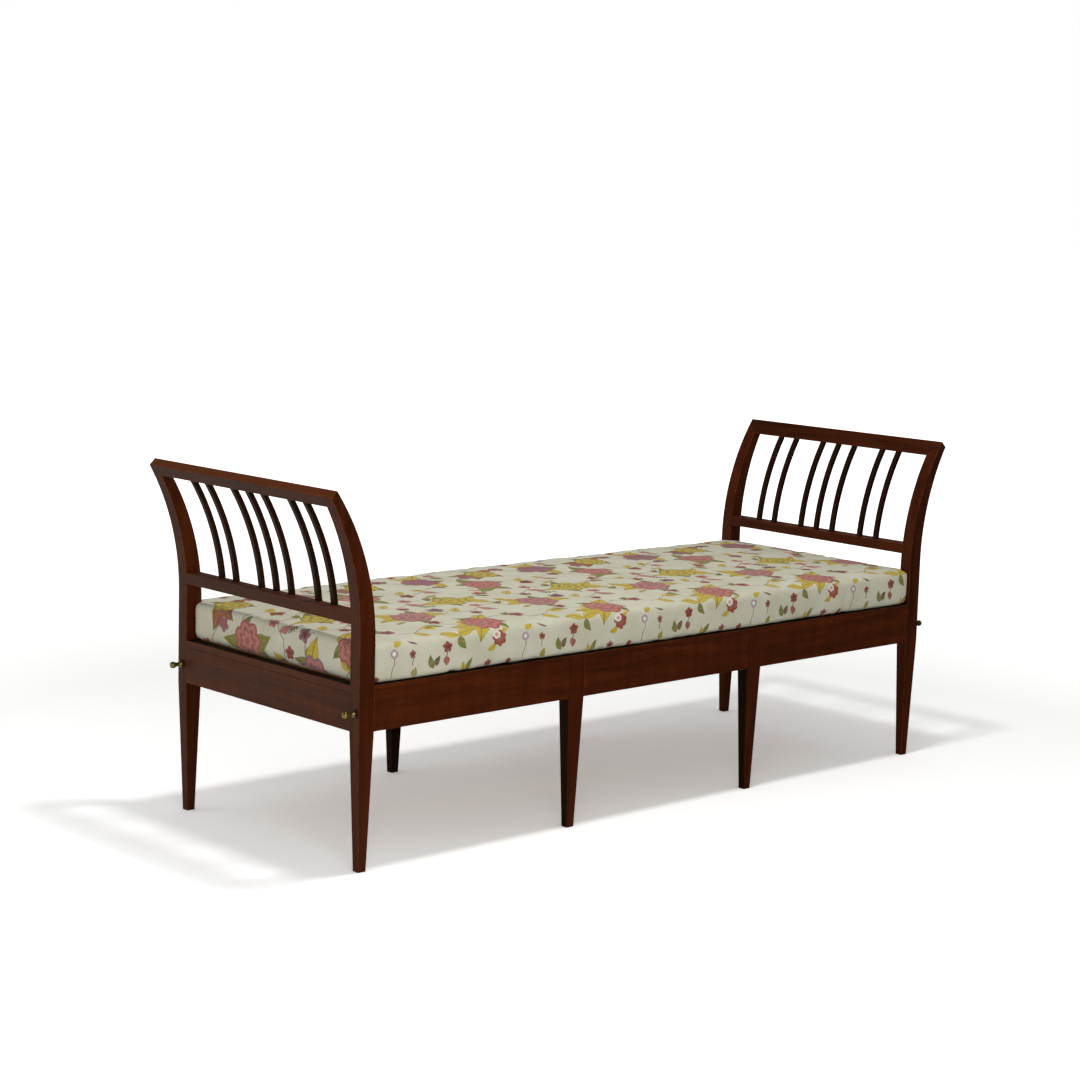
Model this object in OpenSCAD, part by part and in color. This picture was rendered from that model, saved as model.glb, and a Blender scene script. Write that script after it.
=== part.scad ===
// Daybed bench with two open scroll ends, eight tapered legs, bolted long rails and a loose mattress.
// X runs along the bench, Y from front to back, Z up. The origin is on the floor under the middle.

/* [Body] */
// Length over the outer faces of the corner posts at seat height
body_l = 1800; // [1500:10:2200]
// Width over the outer faces of the front and back posts
body_w = 650; // [560:5:800]
// Height from the floor to the underside of the seat rails
leg_h = 296; // [240:2:360]

/* [Corner posts] */
// Depth of a post along the bench
post_x = 40; // [36:1:50]
// Width of a post across the bench
post_y = 31; // [28:1:40]
// Foot size along the bench
foot_x = 20; // [14:1:30]
// Foot size across the bench
foot_y = 18; // [14:1:26]

/* [Scroll ends] */
// Height above the seat rails at which the outer edge starts to curve
outer_start_up = 108; // [80:1:140]
// Height above the seat rails at which the inner edge starts to curve
inner_start_up = 91; // [70:1:120]
// Radius of the inner edge
inner_r = 534; // [480:1:650]
// Thickness of a post along the bench just under the crest's top
top_x = 24.6; // [20:0.2:30]
// Height of the lower cross rail's underside above the seat rails
low_rail_up = 127; // [118:1:150]
// Height of the lower cross rail
low_rail_h = 24; // [20:1:34]
// Height of the crest's underside above the seat rails
crest_up = 372; // [330:1:400]
// Height of the crest's outer face
crest_out_h = 22; // [16:1:30]
// Height of the crest's inner face
crest_in_h = 36; // [30:1:44]

/* [Slats] */
// Slat width across the bench
slat_w = 12; // [10:1:18]
// Slat thickness
slat_t = 11; // [8:1:12]
// Distance between slats that stand close together
slat_pitch = 53.5; // [40:0.5:60]

/* [Seat rails] */
// Height of the seat rails
rail_h = 96; // [84:1:120]
// Thickness of the seat rails
rail_t = 28; // [26:1:32]
// Width of the scratched line round the rails
line_w = 2; // [1:0.5:3]
// Depth of the scratched line
line_d = 1; // [0.5:0.5:2]
// Distance of the scratched line below the top of the rails
line_drop = 15; // [8:1:24]

/* [Middle legs] */
// Distance from the middle of the bench to the middle of each middle leg
mid_leg_out = 290; // [220:5:330]
// Width of a middle leg's head along the bench
mid_leg_x = 46; // [40:1:56]
// Depth of the housing in the rail that takes the head
lap_d = 12; // [8:1:14]

/* [Seat frame] */
// Thickness of the seat boards
board_t = 15; // [12:1:18]
// Gap between the seat boards
board_gap = 13; // [4:1:24]
// Height and depth of the ledgers that carry the boards
ledger_s = 22; // [18:1:26]
// Thickness of the bearers between the long rails
bearer_t = 20; // [16:1:24]
// Height of the bearers above the underside of the rails
bearer_up = 7; // [4:1:12]

/* [Bed bolts] */
// Shank diameter
bolt_d = 8; // [6:1:9]
// Height of the bolts above the underside of the rails
bolt_up = 40; // [32:1:44]
// Length of the shank between the post and the nut
bolt_reach = 45; // [35:1:60]
// Diameter of the knob
knob_d = 15; // [12:1:18]
// Length of the head from the washer to the end of the knob
head_l = 28; // [24:1:36]
// Side of the square nut
nut_s = 18; // [16:1:20]
// Thickness of the nut
nut_t = 8; // [6:1:10]
// Diameter of the washer
washer_d = 20; // [16:1:24]
// Thickness of the washer
washer_t = 2; // [1.5:0.5:3]

/* [Mattress] */
// Height of the mattress at its edge
mattress_h = 86; // [70:1:110]
// Rise of the crown above the edge
crown_h = 10; // [4:1:16]
// Radius of the upper edge
top_edge_r = 20; // [12:1:28]
// Radius of the lower edge
under_edge_r = 10; // [6:1:16]
// How far the sides are drawn in half way between the corners
side_pull = 3; // [1:1:8]

/* [Hidden] */
$fn = 96;

wood = "#4a2413";
brass = "#8a7636";
iron = "#2b2723";
cloth = "#cfccb2";

// Overrun for cuts, and the clearances of the joints
cut = 1;
joint_gap = 0.2;
turn_gap = 0.05;
seat_gap = 0.3;

// Half sizes and heights
hx = body_l / 2;
hy = body_w / 2;
rail_top = leg_h + rail_h;
outer_start = rail_top + outer_start_up;
inner_start = rail_top + inner_start_up;
low_rail_z = rail_top + low_rail_up;
low_rail_top = low_rail_z + low_rail_h;
crest_z = rail_top + crest_up;
crest_out_z = crest_z + crest_out_h;
crest_in_z = crest_z + crest_in_h;

// The inner edge leans out along an arc. The outer one leaves the top thickness, along its own arc.
arc_fn = 720;
inner_cx = -hx + post_x - inner_r;
function inner_at(z) = inner_cx + sqrt(inner_r * inner_r - (z - inner_start) * (z - inner_start));
outer_lean = -hx - inner_at(crest_out_z) + top_x;
outer_rise = crest_out_z - outer_start;
outer_r = (outer_lean * outer_lean + outer_rise * outer_rise) / (2 * outer_lean);
outer_cx = -hx - outer_r;
function outer_at(z) = outer_cx + sqrt(outer_r * outer_r - (z - outer_start) * (z - outer_start));
sweep_out = outer_lean + post_x;

// Tenons. The end rail's stops short of the bolt that passes behind it.
bolt_wall = 2;
end_tenon_l = post_y - rail_t / 2 - bolt_d / 2 - bolt_wall;
tenon_t = 12;
tenon_shoulder = 10;
stub_tenon_l = 12;
low_tenon_l = 15;
low_tenon_shoulder = 3;
slat_tenon_l = 12;
slat_tenon_shoulder = 2.5;
slat_setback = 1.5;

// Slats stand two, three, two, with equal wide spaces between the groups and beside the posts.
inside_w = body_w - 2 * post_y;
wide_pitch = (inside_w - 4 * slat_pitch) / 4;
near_pair = slat_pitch + wide_pitch;
far_pair = near_pair + slat_pitch;
slat_ys = [-far_pair, -near_pair, -slat_pitch, 0, slat_pitch, near_pair, far_pair];

// Crest dowels
dowel_d = 8;
dowel_l = 26;
dowel_z = (crest_z + crest_out_z) / 2;
dowel_x = (outer_at(dowel_z) + inner_at(dowel_z)) / 2;
dowel_lean = (asin((dowel_z - outer_start) / outer_r) + asin((dowel_z - inner_start) / inner_r)) / 2;

// Bed bolts run in the middle of the long rails.
bolt_y = -hy + rail_t / 2;
bolt_z = leg_h + bolt_up;
bolt_past_nut = 6;
nut_x = -hx + post_x + bolt_reach;
bolt_tip_x = nut_x + nut_t + bolt_past_nut;
washer_gap = 0.1;
washer_out_x = -hx - washer_gap - washer_t;
bolt_run_on = 4;
collar_l = 3;
neck_d = 10;
knob_flat = 1;

// Screws
screw_d = 4;
screw_head_d = 7.5;
screw_head_l = 3;
leg_screw_l = 22;
leg_screw_edge = 6;
leg_screw_in = mid_leg_x / 2 - leg_screw_edge;
leg_screw_up = 30;
ledger_screw_l = 32;
ledger_screw_end = 76;
ledger_screw_count = 7;

// Seat frame
board_count = 10;
board_z = rail_top - board_t;
ledger_z = board_z - ledger_s;
ledger_end_gap = 4;
ledger_reach = hx - post_x - ledger_end_gap;
ledger_screw_gap = 2 * (ledger_reach - ledger_screw_end) / (ledger_screw_count - 1);
board_end_gap = 1.5;
board_clear = hx - rail_t;
board_w = (2 * board_clear - (board_count + 1) * board_gap) / board_count;
bearer_z = leg_h + bearer_up;
bearer_tenon_l = 8;
bearer_shoulder = 6;

// Mattress outline, its rings and its faces
mattress_side_gap = 0.5;
mattress_front_in = 3;
mattress_hx = hx - post_x - mattress_side_gap;
mattress_hy = hy - mattress_front_in;
mattress_corner_r = 22;
mattress_spine = 16;
quarter_turn = 90;
half_turn = 2 * quarter_turn;
corner_steps = 4;
long_steps = 14;
short_steps = 6;
edge_steps = 4;
crown_steps = 7;

// Shapes drawn in X and Z, extended in Y
module in_y(y_low, y_high) {
    translate([0, y_high, 0]) rotate([90, 0, 0]) linear_extrude(y_high - y_low) children();
}

// Shapes drawn in Y and Z, extended in X
module in_x(x_low, x_high) {
    translate([x_low, 0, 0]) rotate([90, 0, 90]) linear_extrude(x_high - x_low) children();
}

module box(low, high) {
    translate(low) cube(high - low);
}

module right_side() {
    mirror([1, 0, 0]) children();
}

module back_side() {
    mirror([0, 1, 0]) children();
}

// The band between the outer and inner edge of the left end, from one height to another
module end_band(z_low, z_high) {
    band_w = sweep_out + post_x;
    difference() {
        intersection() {
            translate([-hx - sweep_out, z_low]) square([band_w, z_high - z_low]);
            union() {
                if (z_low < inner_start)
                    translate([-hx - sweep_out, z_low]) square([band_w, inner_start - z_low]);
                translate([inner_cx, inner_start]) circle(inner_r, $fn = arc_fn);
            }
        }
        translate([outer_cx, outer_start]) circle(outer_r, $fn = arc_fn);
        if (z_low < outer_start)
            translate([-hx - band_w, z_low - cut]) square([band_w, outer_start - z_low + cut]);
    }
}

// What lies above the sloping top of the crest
module above_crest() {
    slope = (crest_in_z - crest_out_z) / (inner_at(crest_in_z) - outer_at(crest_out_z));
    far_l = outer_at(crest_out_z) - sweep_out;
    far_r = inner_at(crest_in_z) + sweep_out;
    polygon([
        [far_l, crest_out_z - slope * sweep_out],
        [far_r, crest_in_z + slope * sweep_out],
        [far_r, crest_in_z + 2 * sweep_out],
        [far_l, crest_in_z + 2 * sweep_out]
    ]);
}

// What lies above the mitre at the front end of the left crest
module above_mitre() {
    rise = crest_out_z - crest_z;
    in_x(-hx - 2 * sweep_out, -hx + post_x + cut)
        polygon([
            [-hy - post_y, crest_out_z + rise],
            [-hy + 2 * post_y, crest_z - rise],
            [-hy + 2 * post_y, crest_out_z + 2 * sweep_out],
            [-hy - post_y, crest_out_z + 2 * sweep_out]
        ]);
}

// A dowel, or its hole, square to the end of the front left post
module crest_dowel(extra) {
    translate([dowel_x, -hy + post_y / 2, dowel_z]) rotate([0, -dowel_lean, 0])
        cylinder(d = dowel_d + 2 * extra, h = dowel_l + 2 * extra, center = true);
}

// A tenon of the front end of the left lower rail
module low_tenon(extra) {
    mid_x = (outer_at(low_rail_top) + inner_at(low_rail_top)) / 2;
    half = tenon_t / 2 + extra;
    end_y = -hy + post_y - low_tenon_l - extra;
    box([mid_x - half, end_y, low_rail_z + low_tenon_shoulder - extra],
        [mid_x + half, -hy + post_y + cut, low_rail_top - low_tenon_shoulder + extra]);
}

// A tenon of the front end of the left end rail
module end_tenon(extra) {
    mid_x = -hx + rail_t / 2;
    half = tenon_t / 2 + extra;
    end_y = -hy + post_y - end_tenon_l - extra;
    box([mid_x - half, end_y, leg_h + tenon_shoulder - extra],
        [mid_x + half, -hy + post_y + cut, rail_top - tenon_shoulder + extra]);
}

// A stub tenon of the left end of the front rail
module stub_tenon(extra) {
    half = tenon_t / 2 + extra;
    end_x = -hx + post_x - stub_tenon_l - extra;
    box([end_x, bolt_y - half, leg_h + tenon_shoulder - extra],
        [-hx + post_x + cut, bolt_y + half, rail_top - tenon_shoulder + extra]);
}

// One face of a leg: a foot under its middle, tapered sides, and straight sides from the rails up to a height
module leg_face(low, high, foot, top_z) {
    middle = (low + high) / 2;
    polygon([
        [middle - foot / 2, 0], [middle + foot / 2, 0],
        [high, leg_h], [high, top_z], [low, top_z], [low, leg_h]
    ]);
}

// The front left post: leg, rail block and scroll in one length of wood
module corner_post() {
    color(wood) difference() {
        intersection() {
            in_y(-hy, -hy + post_y) union() {
                leg_face(-hx, -hx + post_x, foot_x, rail_top);
                end_band(leg_h, crest_in_z);
            }
            in_x(-hx - sweep_out, -hx + post_x) leg_face(-hy, -hy + post_y, foot_y, crest_in_z);
        }
        above_mitre();
        in_y(-hy - cut, -hy + post_y + cut) above_crest();
        end_tenon(joint_gap);
        stub_tenon(joint_gap);
        low_tenon(joint_gap);
        crest_dowel(joint_gap);
        bolt_hole(-hx - cut, -hx + post_x + cut);
    }
}

module bolt_hole(x_low, x_high) {
    translate([x_low, bolt_y, bolt_z]) rotate([0, 90, 0])
        cylinder(d = bolt_d + 2 * turn_gap, h = x_high - x_low);
}

// A slat's curve, thinner on each side by less
module slat_curve(less, z_low, z_high) {
    intersection() {
        translate([-hx - sweep_out, z_low]) square([sweep_out + post_x, z_high - z_low]);
        translate([inner_cx, inner_start]) difference() {
            circle(inner_r - slat_setback - less, $fn = arc_fn);
            circle(inner_r - slat_setback - slat_t + less, $fn = arc_fn);
        }
    }
}

// The tenons of one slat, or the mortises that take them
module slat_tenons(y, extra) {
    half = slat_w / 2 - slat_tenon_shoulder + extra;
    less = slat_tenon_shoulder - extra;
    in_y(y - half, y + half) slat_curve(less, low_rail_top - slat_tenon_l - extra, low_rail_top + cut);
    in_y(y - half, y + half) slat_curve(less, crest_z - cut, crest_z + slat_tenon_l + extra);
}

module slat(index) {
    y = slat_ys[index - 1];
    color(wood) union() {
        in_y(y - slat_w / 2, y + slat_w / 2) slat_curve(0, low_rail_top, crest_z);
        slat_tenons(y, 0);
    }
}

module crest_rail() {
    color(wood) difference() {
        in_y(-hy, hy) end_band(crest_z, crest_in_z);
        in_y(-hy - cut, hy + cut) above_crest();
        for (side = [0, 1]) mirror([0, side, 0]) {
            difference() {
                box([-hx - 2 * sweep_out, -hy - cut, crest_z - cut],
                    [-hx + post_x, -hy + post_y, crest_in_z + cut]);
                above_mitre();
            }
            crest_dowel(joint_gap);
        }
        for (y = slat_ys) slat_tenons(y, joint_gap);
    }
}

module lower_rail() {
    color(wood) difference() {
        union() {
            in_y(-hy + post_y, hy - post_y) end_band(low_rail_z, low_rail_top);
            for (side = [0, 1]) mirror([0, side, 0]) low_tenon(0);
        }
        for (y = slat_ys) slat_tenons(y, joint_gap);
    }
}

// The scratched line on an outer face that looks towards the left
module end_line() {
    low_z = rail_top - line_drop - line_w / 2;
    box([-hx - cut, -hy, low_z], [-hx + line_d, hy, low_z + line_w]);
}

// The scratched line on an outer face that looks to the front
module front_line() {
    low_z = rail_top - line_drop - line_w / 2;
    box([-hx, -hy - cut, low_z], [hx, -hy + line_d, low_z + line_w]);
}

module end_rail() {
    color(wood) difference() {
        union() {
            box([-hx, -hy + post_y, leg_h], [-hx + rail_t, hy - post_y, rail_top]);
            for (side = [0, 1]) mirror([0, side, 0]) end_tenon(0);
        }
        end_line();
    }
}

// The long front rail, with housings for the middle legs, nut pockets and bearer mortises
module long_rail() {
    color(wood) difference() {
        union() {
            box([-hx + post_x, -hy, leg_h], [hx - post_x, -hy + rail_t, rail_top]);
            for (side = [0, 1]) mirror([side, 0, 0]) stub_tenon(0);
        }
        front_line();
        for (side = [0, 1]) mirror([side, 0, 0]) {
            bolt_hole(-hx, bolt_tip_x + bolt_run_on);
            box([nut_x - joint_gap, bolt_y - nut_s / 2 - joint_gap, bolt_z - nut_s / 2 - joint_gap],
                [nut_x + nut_t + joint_gap, -hy + rail_t + cut, bolt_z + nut_s / 2 + joint_gap]);
            box([-mid_leg_out - mid_leg_x / 2, -hy - cut, leg_h - cut],
                [-mid_leg_out + mid_leg_x / 2, -hy + lap_d, rail_top + cut]);
            bearer_tenon(joint_gap);
            leg_screw_pair(turn_gap);
        }
        ledger_screw_row(turn_gap);
    }
}

// The front left middle leg, with its thin head let into the rail
module middle_leg() {
    low = -mid_leg_out - mid_leg_x / 2;
    high = -mid_leg_out + mid_leg_x / 2;
    color(wood) difference() {
        intersection() {
            in_y(-hy, -hy + post_y) leg_face(low, high, foot_x, rail_top);
            in_x(low, high) leg_face(-hy, -hy + post_y, foot_y, rail_top);
        }
        box([low - cut, -hy + lap_d, leg_h], [high + cut, -hy + post_y + cut, rail_top + cut]);
        front_line();
        leg_screw_pair(turn_gap);
    }
}

// A countersunk screw along Y, its head's face at the given place
module screw(x, y, z, length, extra) {
    translate([x, y, z]) rotate([90, 0, 0]) {
        cylinder(d = screw_d + 2 * extra, h = length + extra);
        cylinder(d1 = screw_head_d + 2 * extra, d2 = screw_d + 2 * extra, h = screw_head_l);
    }
}

module leg_screw_pair(extra) {
    for (side = [-1, 1])
        screw(-mid_leg_out + side * leg_screw_in, -hy + rail_t, leg_h + leg_screw_up, leg_screw_l, extra);
}

module leg_screws() {
    color(iron) for (x_side = [0, 1]) for (y_side = [0, 1])
        mirror([x_side, 0, 0]) mirror([0, y_side, 0]) leg_screw_pair(0);
}

module ledger_screw_row(extra) {
    for (i = [0:ledger_screw_count - 1])
        screw((i - (ledger_screw_count - 1) / 2) * ledger_screw_gap, -hy + rail_t + ledger_s,
            ledger_z + ledger_s / 2, ledger_screw_l, extra);
}

module ledger_screws() {
    color(iron) for (side = [0, 1]) mirror([0, side, 0]) ledger_screw_row(0);
}

module ledger() {
    color(wood) difference() {
        box([-ledger_reach, -hy + rail_t, ledger_z], [ledger_reach, -hy + rail_t + ledger_s, board_z]);
        ledger_screw_row(turn_gap);
    }
}

// The tenon of the left bearer in the front rail
module bearer_tenon(extra) {
    half = bearer_t / 2 + extra;
    end_y = -hy + rail_t - bearer_tenon_l - extra;
    box([-mid_leg_out - half, end_y, bearer_z + bearer_shoulder - extra],
        [-mid_leg_out + half, -hy + rail_t + cut, ledger_z - bearer_shoulder + extra]);
}

module bearer() {
    color(wood) union() {
        box([-mid_leg_out - bearer_t / 2, -hy + rail_t, bearer_z],
            [-mid_leg_out + bearer_t / 2, hy - rail_t, ledger_z]);
        for (side = [0, 1]) mirror([0, side, 0]) bearer_tenon(0);
    }
}

module seat_board(index) {
    low = -board_clear + index * board_gap + (index - 1) * board_w;
    reach = hy - rail_t - board_end_gap;
    color(wood) box([low, -reach, board_z], [low + board_w, reach, rail_top]);
}

// The front left bed bolt: plain shank, collar, neck and round knob
module bed_bolt() {
    head_x = washer_out_x;
    knob_x = head_x - head_l + knob_d / 2 - knob_flat;
    color(brass) translate([head_x, bolt_y, bolt_z]) rotate([0, -90, 0]) rotate_extrude() {
        translate([0, head_x - bolt_tip_x]) square([bolt_d / 2, bolt_tip_x - head_x]);
        square([knob_d / 2, collar_l]);
        square([neck_d / 2, head_x - knob_x]);
        translate([0, head_x - knob_x]) intersection() {
            circle(knob_d / 2);
            translate([0, -knob_d]) square([knob_d, 2 * knob_d - knob_d / 2 - knob_flat]);
        }
    }
}

module washer() {
    color(iron) translate([washer_out_x, bolt_y, bolt_z]) rotate([0, 90, 0]) difference() {
        cylinder(d = washer_d, h = washer_t);
        translate([0, 0, -cut]) cylinder(d = bolt_d + 2 * turn_gap, h = washer_t + 2 * cut);
    }
}

module captive_nut() {
    difference() {
        box([nut_x, bolt_y - nut_s / 2, bolt_z - nut_s / 2],
            [nut_x + nut_t, bolt_y + nut_s / 2, bolt_z + nut_s / 2]);
        bolt_hole(nut_x - cut, nut_x + nut_t + cut);
    }
}

module captive_nuts() {
    color(iron) for (x_side = [0, 1]) for (y_side = [0, 1])
        mirror([x_side, 0, 0]) mirror([0, y_side, 0]) captive_nut();
}

module crest_dowels() {
    color(wood) for (x_side = [0, 1]) for (y_side = [0, 1])
        mirror([x_side, 0, 0]) mirror([0, y_side, 0]) crest_dowel(0);
}

// One ring of the mattress: a rounded rectangle, inset all round, with its sides drawn in
function towards(angle) = [cos(angle), sin(angle)];
function ring_r(inset) = mattress_corner_r - min(inset, mattress_corner_r / 2);
function ring_in(inset) = mattress_corner_r + max(inset - mattress_corner_r / 2, 0);
function ring_corner(q, inset) = [
    (q == 0 || q == 3 ? 1 : -1) * (mattress_hx - ring_in(inset)),
    (q < 2 ? 1 : -1) * (mattress_hy - ring_in(inset))
];
function on_corner(q, step, inset) =
    ring_corner(q, inset) + ring_r(inset) * towards(quarter_turn * (q + step / corner_steps));
function side_steps(q) = q % 2 == 0 ? long_steps : short_steps;
function on_side(q, step, inset, pull) =
    let (share = step / side_steps(q))
    let (start = on_corner(q, corner_steps, inset), end = on_corner((q + 1) % 4, 0, inset))
    start + share * (end - start) - pull * sin(half_turn * share) * towards(quarter_turn * (q + 1));
function mattress_ring(inset, z, pull) = [
    for (q = [0:3]) each [
        for (step = [0:corner_steps]) [each on_corner(q, step, inset), z],
        for (step = [1:side_steps(q) - 1]) [each on_side(q, step, inset, pull), z]
    ]
];

mattress_z = rail_top + seat_gap;
mattress_edge_z = mattress_z + mattress_h;
crown_run = mattress_hy - top_edge_r - mattress_spine;
function under_ring(a) =
    mattress_ring(under_edge_r * (1 - sin(a)), mattress_z + under_edge_r * (1 - cos(a)), side_pull * sin(a));
function top_ring(a) =
    mattress_ring(top_edge_r * (1 - cos(a)), mattress_edge_z - top_edge_r * (1 - sin(a)), side_pull * cos(a));
function crown_ring(share) =
    mattress_ring(top_edge_r + crown_run * share, mattress_edge_z + crown_h * share * (2 - share), 0);
mattress_rings = [
    for (i = [0:edge_steps]) under_ring(quarter_turn * i / edge_steps),
    for (i = [0:edge_steps]) top_ring(quarter_turn * i / edge_steps),
    for (i = [1:crown_steps]) crown_ring(i / crown_steps)
];

module mattress() {
    around = len(mattress_rings[0]);
    rings = len(mattress_rings);
    points = [for (ring = mattress_rings) each ring, [0, 0, mattress_z], [0, 0, mattress_edge_z + crown_h]];
    bottom = rings * around;
    top = bottom + 1;
    last = bottom - around;
    faces = [
        for (r = [0:rings - 2]) for (i = [0:around - 1])
            let (a = r * around + i, b = r * around + (i + 1) % around)
            each [[a, a + around, b], [b, a + around, b + around]],
        for (i = [0:around - 1]) [bottom, i, (i + 1) % around],
        for (i = [0:around - 1]) [top, last + (i + 1) % around, last + i]
    ];
    color(cloth) polyhedron(points, faces);
}

corner_post();  // front_left_post
back_side() corner_post();  // back_left_post
right_side() corner_post();  // front_right_post
right_side() back_side() corner_post();  // back_right_post
crest_rail();  // left_crest_rail
right_side() crest_rail();  // right_crest_rail
lower_rail();  // left_lower_rail
right_side() lower_rail();  // right_lower_rail
for (i = [1:7]) {
    slat(i);
    right_side() slat(i);
}
end_rail();  // left_end_rail
right_side() end_rail();  // right_end_rail
long_rail();  // front_rail
back_side() long_rail();  // back_rail
middle_leg();  // front_left_middle_leg
right_side() middle_leg();  // front_right_middle_leg
back_side() middle_leg();  // back_left_middle_leg
right_side() back_side() middle_leg();  // back_right_middle_leg
bearer();  // left_bearer
right_side() bearer();  // right_bearer
ledger();  // front_ledger
back_side() ledger();  // back_ledger
for (i = [1:board_count]) {
    seat_board(i);
}
bed_bolt();  // front_left_bed_bolt
back_side() bed_bolt();  // back_left_bed_bolt
right_side() bed_bolt();  // front_right_bed_bolt
right_side() back_side() bed_bolt();  // back_right_bed_bolt
washer();  // front_left_washer
back_side() washer();  // back_left_washer
right_side() washer();  // front_right_washer
right_side() back_side() washer();  // back_right_washer
captive_nuts();
crest_dowels();
leg_screws();
ledger_screws();
mattress();
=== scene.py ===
# %% [markdown]
# # A daybed bench in mahogany, with a printed linen mattress
#
# The joinery was drawn and packed as solids in CAD. This lesson dresses those solids in Blender: the edges
# of the wood are eased and the grain is laid along each piece, the slats, boards and screws are rebuilt with
# Geometry Nodes, the bolts are turned on a lathe, and the mattress is inflated as cloth and printed with
# flowers that are drawn by shader nodes.

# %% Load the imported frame
import math
from functools import partialmethod

import bmesh
import bpy
import numpy as np
from mathutils import Matrix, Vector, noise


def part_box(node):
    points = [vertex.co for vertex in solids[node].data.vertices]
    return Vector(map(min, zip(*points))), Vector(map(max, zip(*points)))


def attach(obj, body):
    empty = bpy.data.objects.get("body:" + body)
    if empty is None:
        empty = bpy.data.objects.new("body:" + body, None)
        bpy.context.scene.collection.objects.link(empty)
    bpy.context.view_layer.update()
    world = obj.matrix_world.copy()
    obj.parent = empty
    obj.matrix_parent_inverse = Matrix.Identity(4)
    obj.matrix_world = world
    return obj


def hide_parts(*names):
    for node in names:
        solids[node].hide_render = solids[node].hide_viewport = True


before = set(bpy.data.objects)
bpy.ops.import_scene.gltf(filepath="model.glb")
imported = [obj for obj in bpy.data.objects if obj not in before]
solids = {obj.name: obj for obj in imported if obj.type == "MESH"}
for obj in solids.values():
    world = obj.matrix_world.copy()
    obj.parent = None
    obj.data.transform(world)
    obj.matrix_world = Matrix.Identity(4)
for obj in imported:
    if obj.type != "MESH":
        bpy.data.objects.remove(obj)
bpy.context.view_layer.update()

# %% [markdown]
# ## Small tools
#
# A node tree is easier to read as a list of sums than as a list of links, so a short helper adds a node,
# sets or links its inputs by name and hands back the output. It works for shaders and Geometry Nodes alike.

# %% A helper that writes node trees
MM = 0.001


class Nodes:
    """Writes the nodes of one tree. An input is given a value, or another node's output."""

    def __init__(self, tree):
        self.tree, self.out = tree, None

    def add(self, kind, inputs=None, **settings):
        node = self.tree.nodes.new(kind)
        for name, value in settings.items():
            setattr(node, name, value)
        for name, value in (inputs or {}).items():
            if isinstance(value, bpy.types.NodeSocket):
                self.tree.links.new(value, node.inputs[name])
            else:
                node.inputs[name].default_value = value
        return node

    def made(self, kind, inputs=None, **settings):
        """The first output of a new node."""
        return self.add(kind, inputs, **settings).outputs[0]

    def group(self, tree, **inputs):
        """The outputs of a group. An underscore in the name of an input stands for a space."""
        inputs = {name.replace("_", " "): value for name, value in inputs.items()}
        return self.add("ShaderNodeGroup", inputs, node_tree=tree).outputs

    def give(self, name, value):
        """Sends a value to an output of the tree, which is a group."""
        self.tree.links.new(value, self.out.inputs[name])

    def math(self, operation, *values, clamp=False):
        return self.made("ShaderNodeMath", dict(enumerate(values)), operation=operation, use_clamp=clamp)

    plus = partialmethod(math, "ADD")
    minus = partialmethod(math, "SUBTRACT")
    times = partialmethod(math, "MULTIPLY")
    over = partialmethod(math, "DIVIDE")
    larger = partialmethod(math, "MAXIMUM")
    smaller = partialmethod(math, "MINIMUM")
    size = partialmethod(math, "ABSOLUTE")

    def held(self, value):
        """The value, held between 0 and 1."""
        return self.math("ADD", value, 0.0, clamp=True)

    def vector(self, operation, *values):
        node = self.add("ShaderNodeVectorMath", dict(enumerate(values)), operation=operation)
        return node.outputs["Value" if operation in ("LENGTH", "DISTANCE", "DOT_PRODUCT") else "Vector"]

    def own_place(self):
        return self.add("ShaderNodeTexCoord").outputs["Object"]

    def attribute(self, name, output):
        return self.add("ShaderNodeAttribute", attribute_name=name).outputs[output]

    def apart(self, vector):
        return self.add("ShaderNodeSeparateXYZ", {0: vector}).outputs

    def together(self, x, y, z):
        return self.made("ShaderNodeCombineXYZ", {0: x, 1: y, 2: z})

    def mix(self, share, a, b):
        return self.add("ShaderNodeMix", {0: share, 6: a, 7: b}, data_type="RGBA").outputs[2]

    def ramp(self, value, low, high, to_low=0.0, to_high=1.0):
        """Carries value from the range low..high to to_low..to_high, and holds it there."""
        inputs = {"Value": value, "From Min": low, "From Max": high, "To Min": to_low, "To Max": to_high}
        return self.made("ShaderNodeMapRange", inputs)

    def noise(self, place, scale, detail=2.0, roughness=0.5, distortion=0.0):
        inputs = {"Vector": place, "Scale": scale, "Detail": detail, "Roughness": roughness,
                  "Distortion": distortion}
        return self.made("ShaderNodeTexNoise", inputs)

    def mask(self, place, scale, detail, roughness, low, high, to_low=0.0, to_high=1.0):
        """Noise, carried like a ramp from the range low..high."""
        return self.ramp(self.noise(place, scale, detail, roughness), low, high, to_low, to_high)


def seen(red, green, blue):
    """A colour as a screen shows it, from 0 to 255, in the linear values that nodes expect."""
    linear = [c / 255 / 12.92 if c <= 10 else ((c / 255 + 0.055) / 1.055) ** 2.4 for c in (red, green, blue)]
    return (*linear, 1.0)


def new_group(name, inputs, outputs, kind="ShaderNodeTree"):
    """A node group with named sockets. Returns its tree, its writer and its inputs."""
    tree = bpy.data.node_groups.new(name, kind)
    for label, socket_kind, value in inputs:
        socket = tree.interface.new_socket(name=label, in_out="INPUT", socket_type=socket_kind)
        if value is not None:
            socket.default_value = value
    for label, socket_kind in outputs:
        tree.interface.new_socket(name=label, in_out="OUTPUT", socket_type=socket_kind)
    writer = Nodes(tree)
    writer.out = writer.add("NodeGroupOutput")
    return tree, writer, writer.add("NodeGroupInput").outputs


def new_material(name):
    """An empty material and its writer."""
    material = bpy.data.materials.new(name)
    material.use_nodes = True
    material.node_tree.nodes.clear()
    return material, Nodes(material.node_tree)


def new_object(name, data):
    thing = bpy.data.objects.new(name, data)
    bpy.context.scene.collection.objects.link(thing)
    return thing


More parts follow.
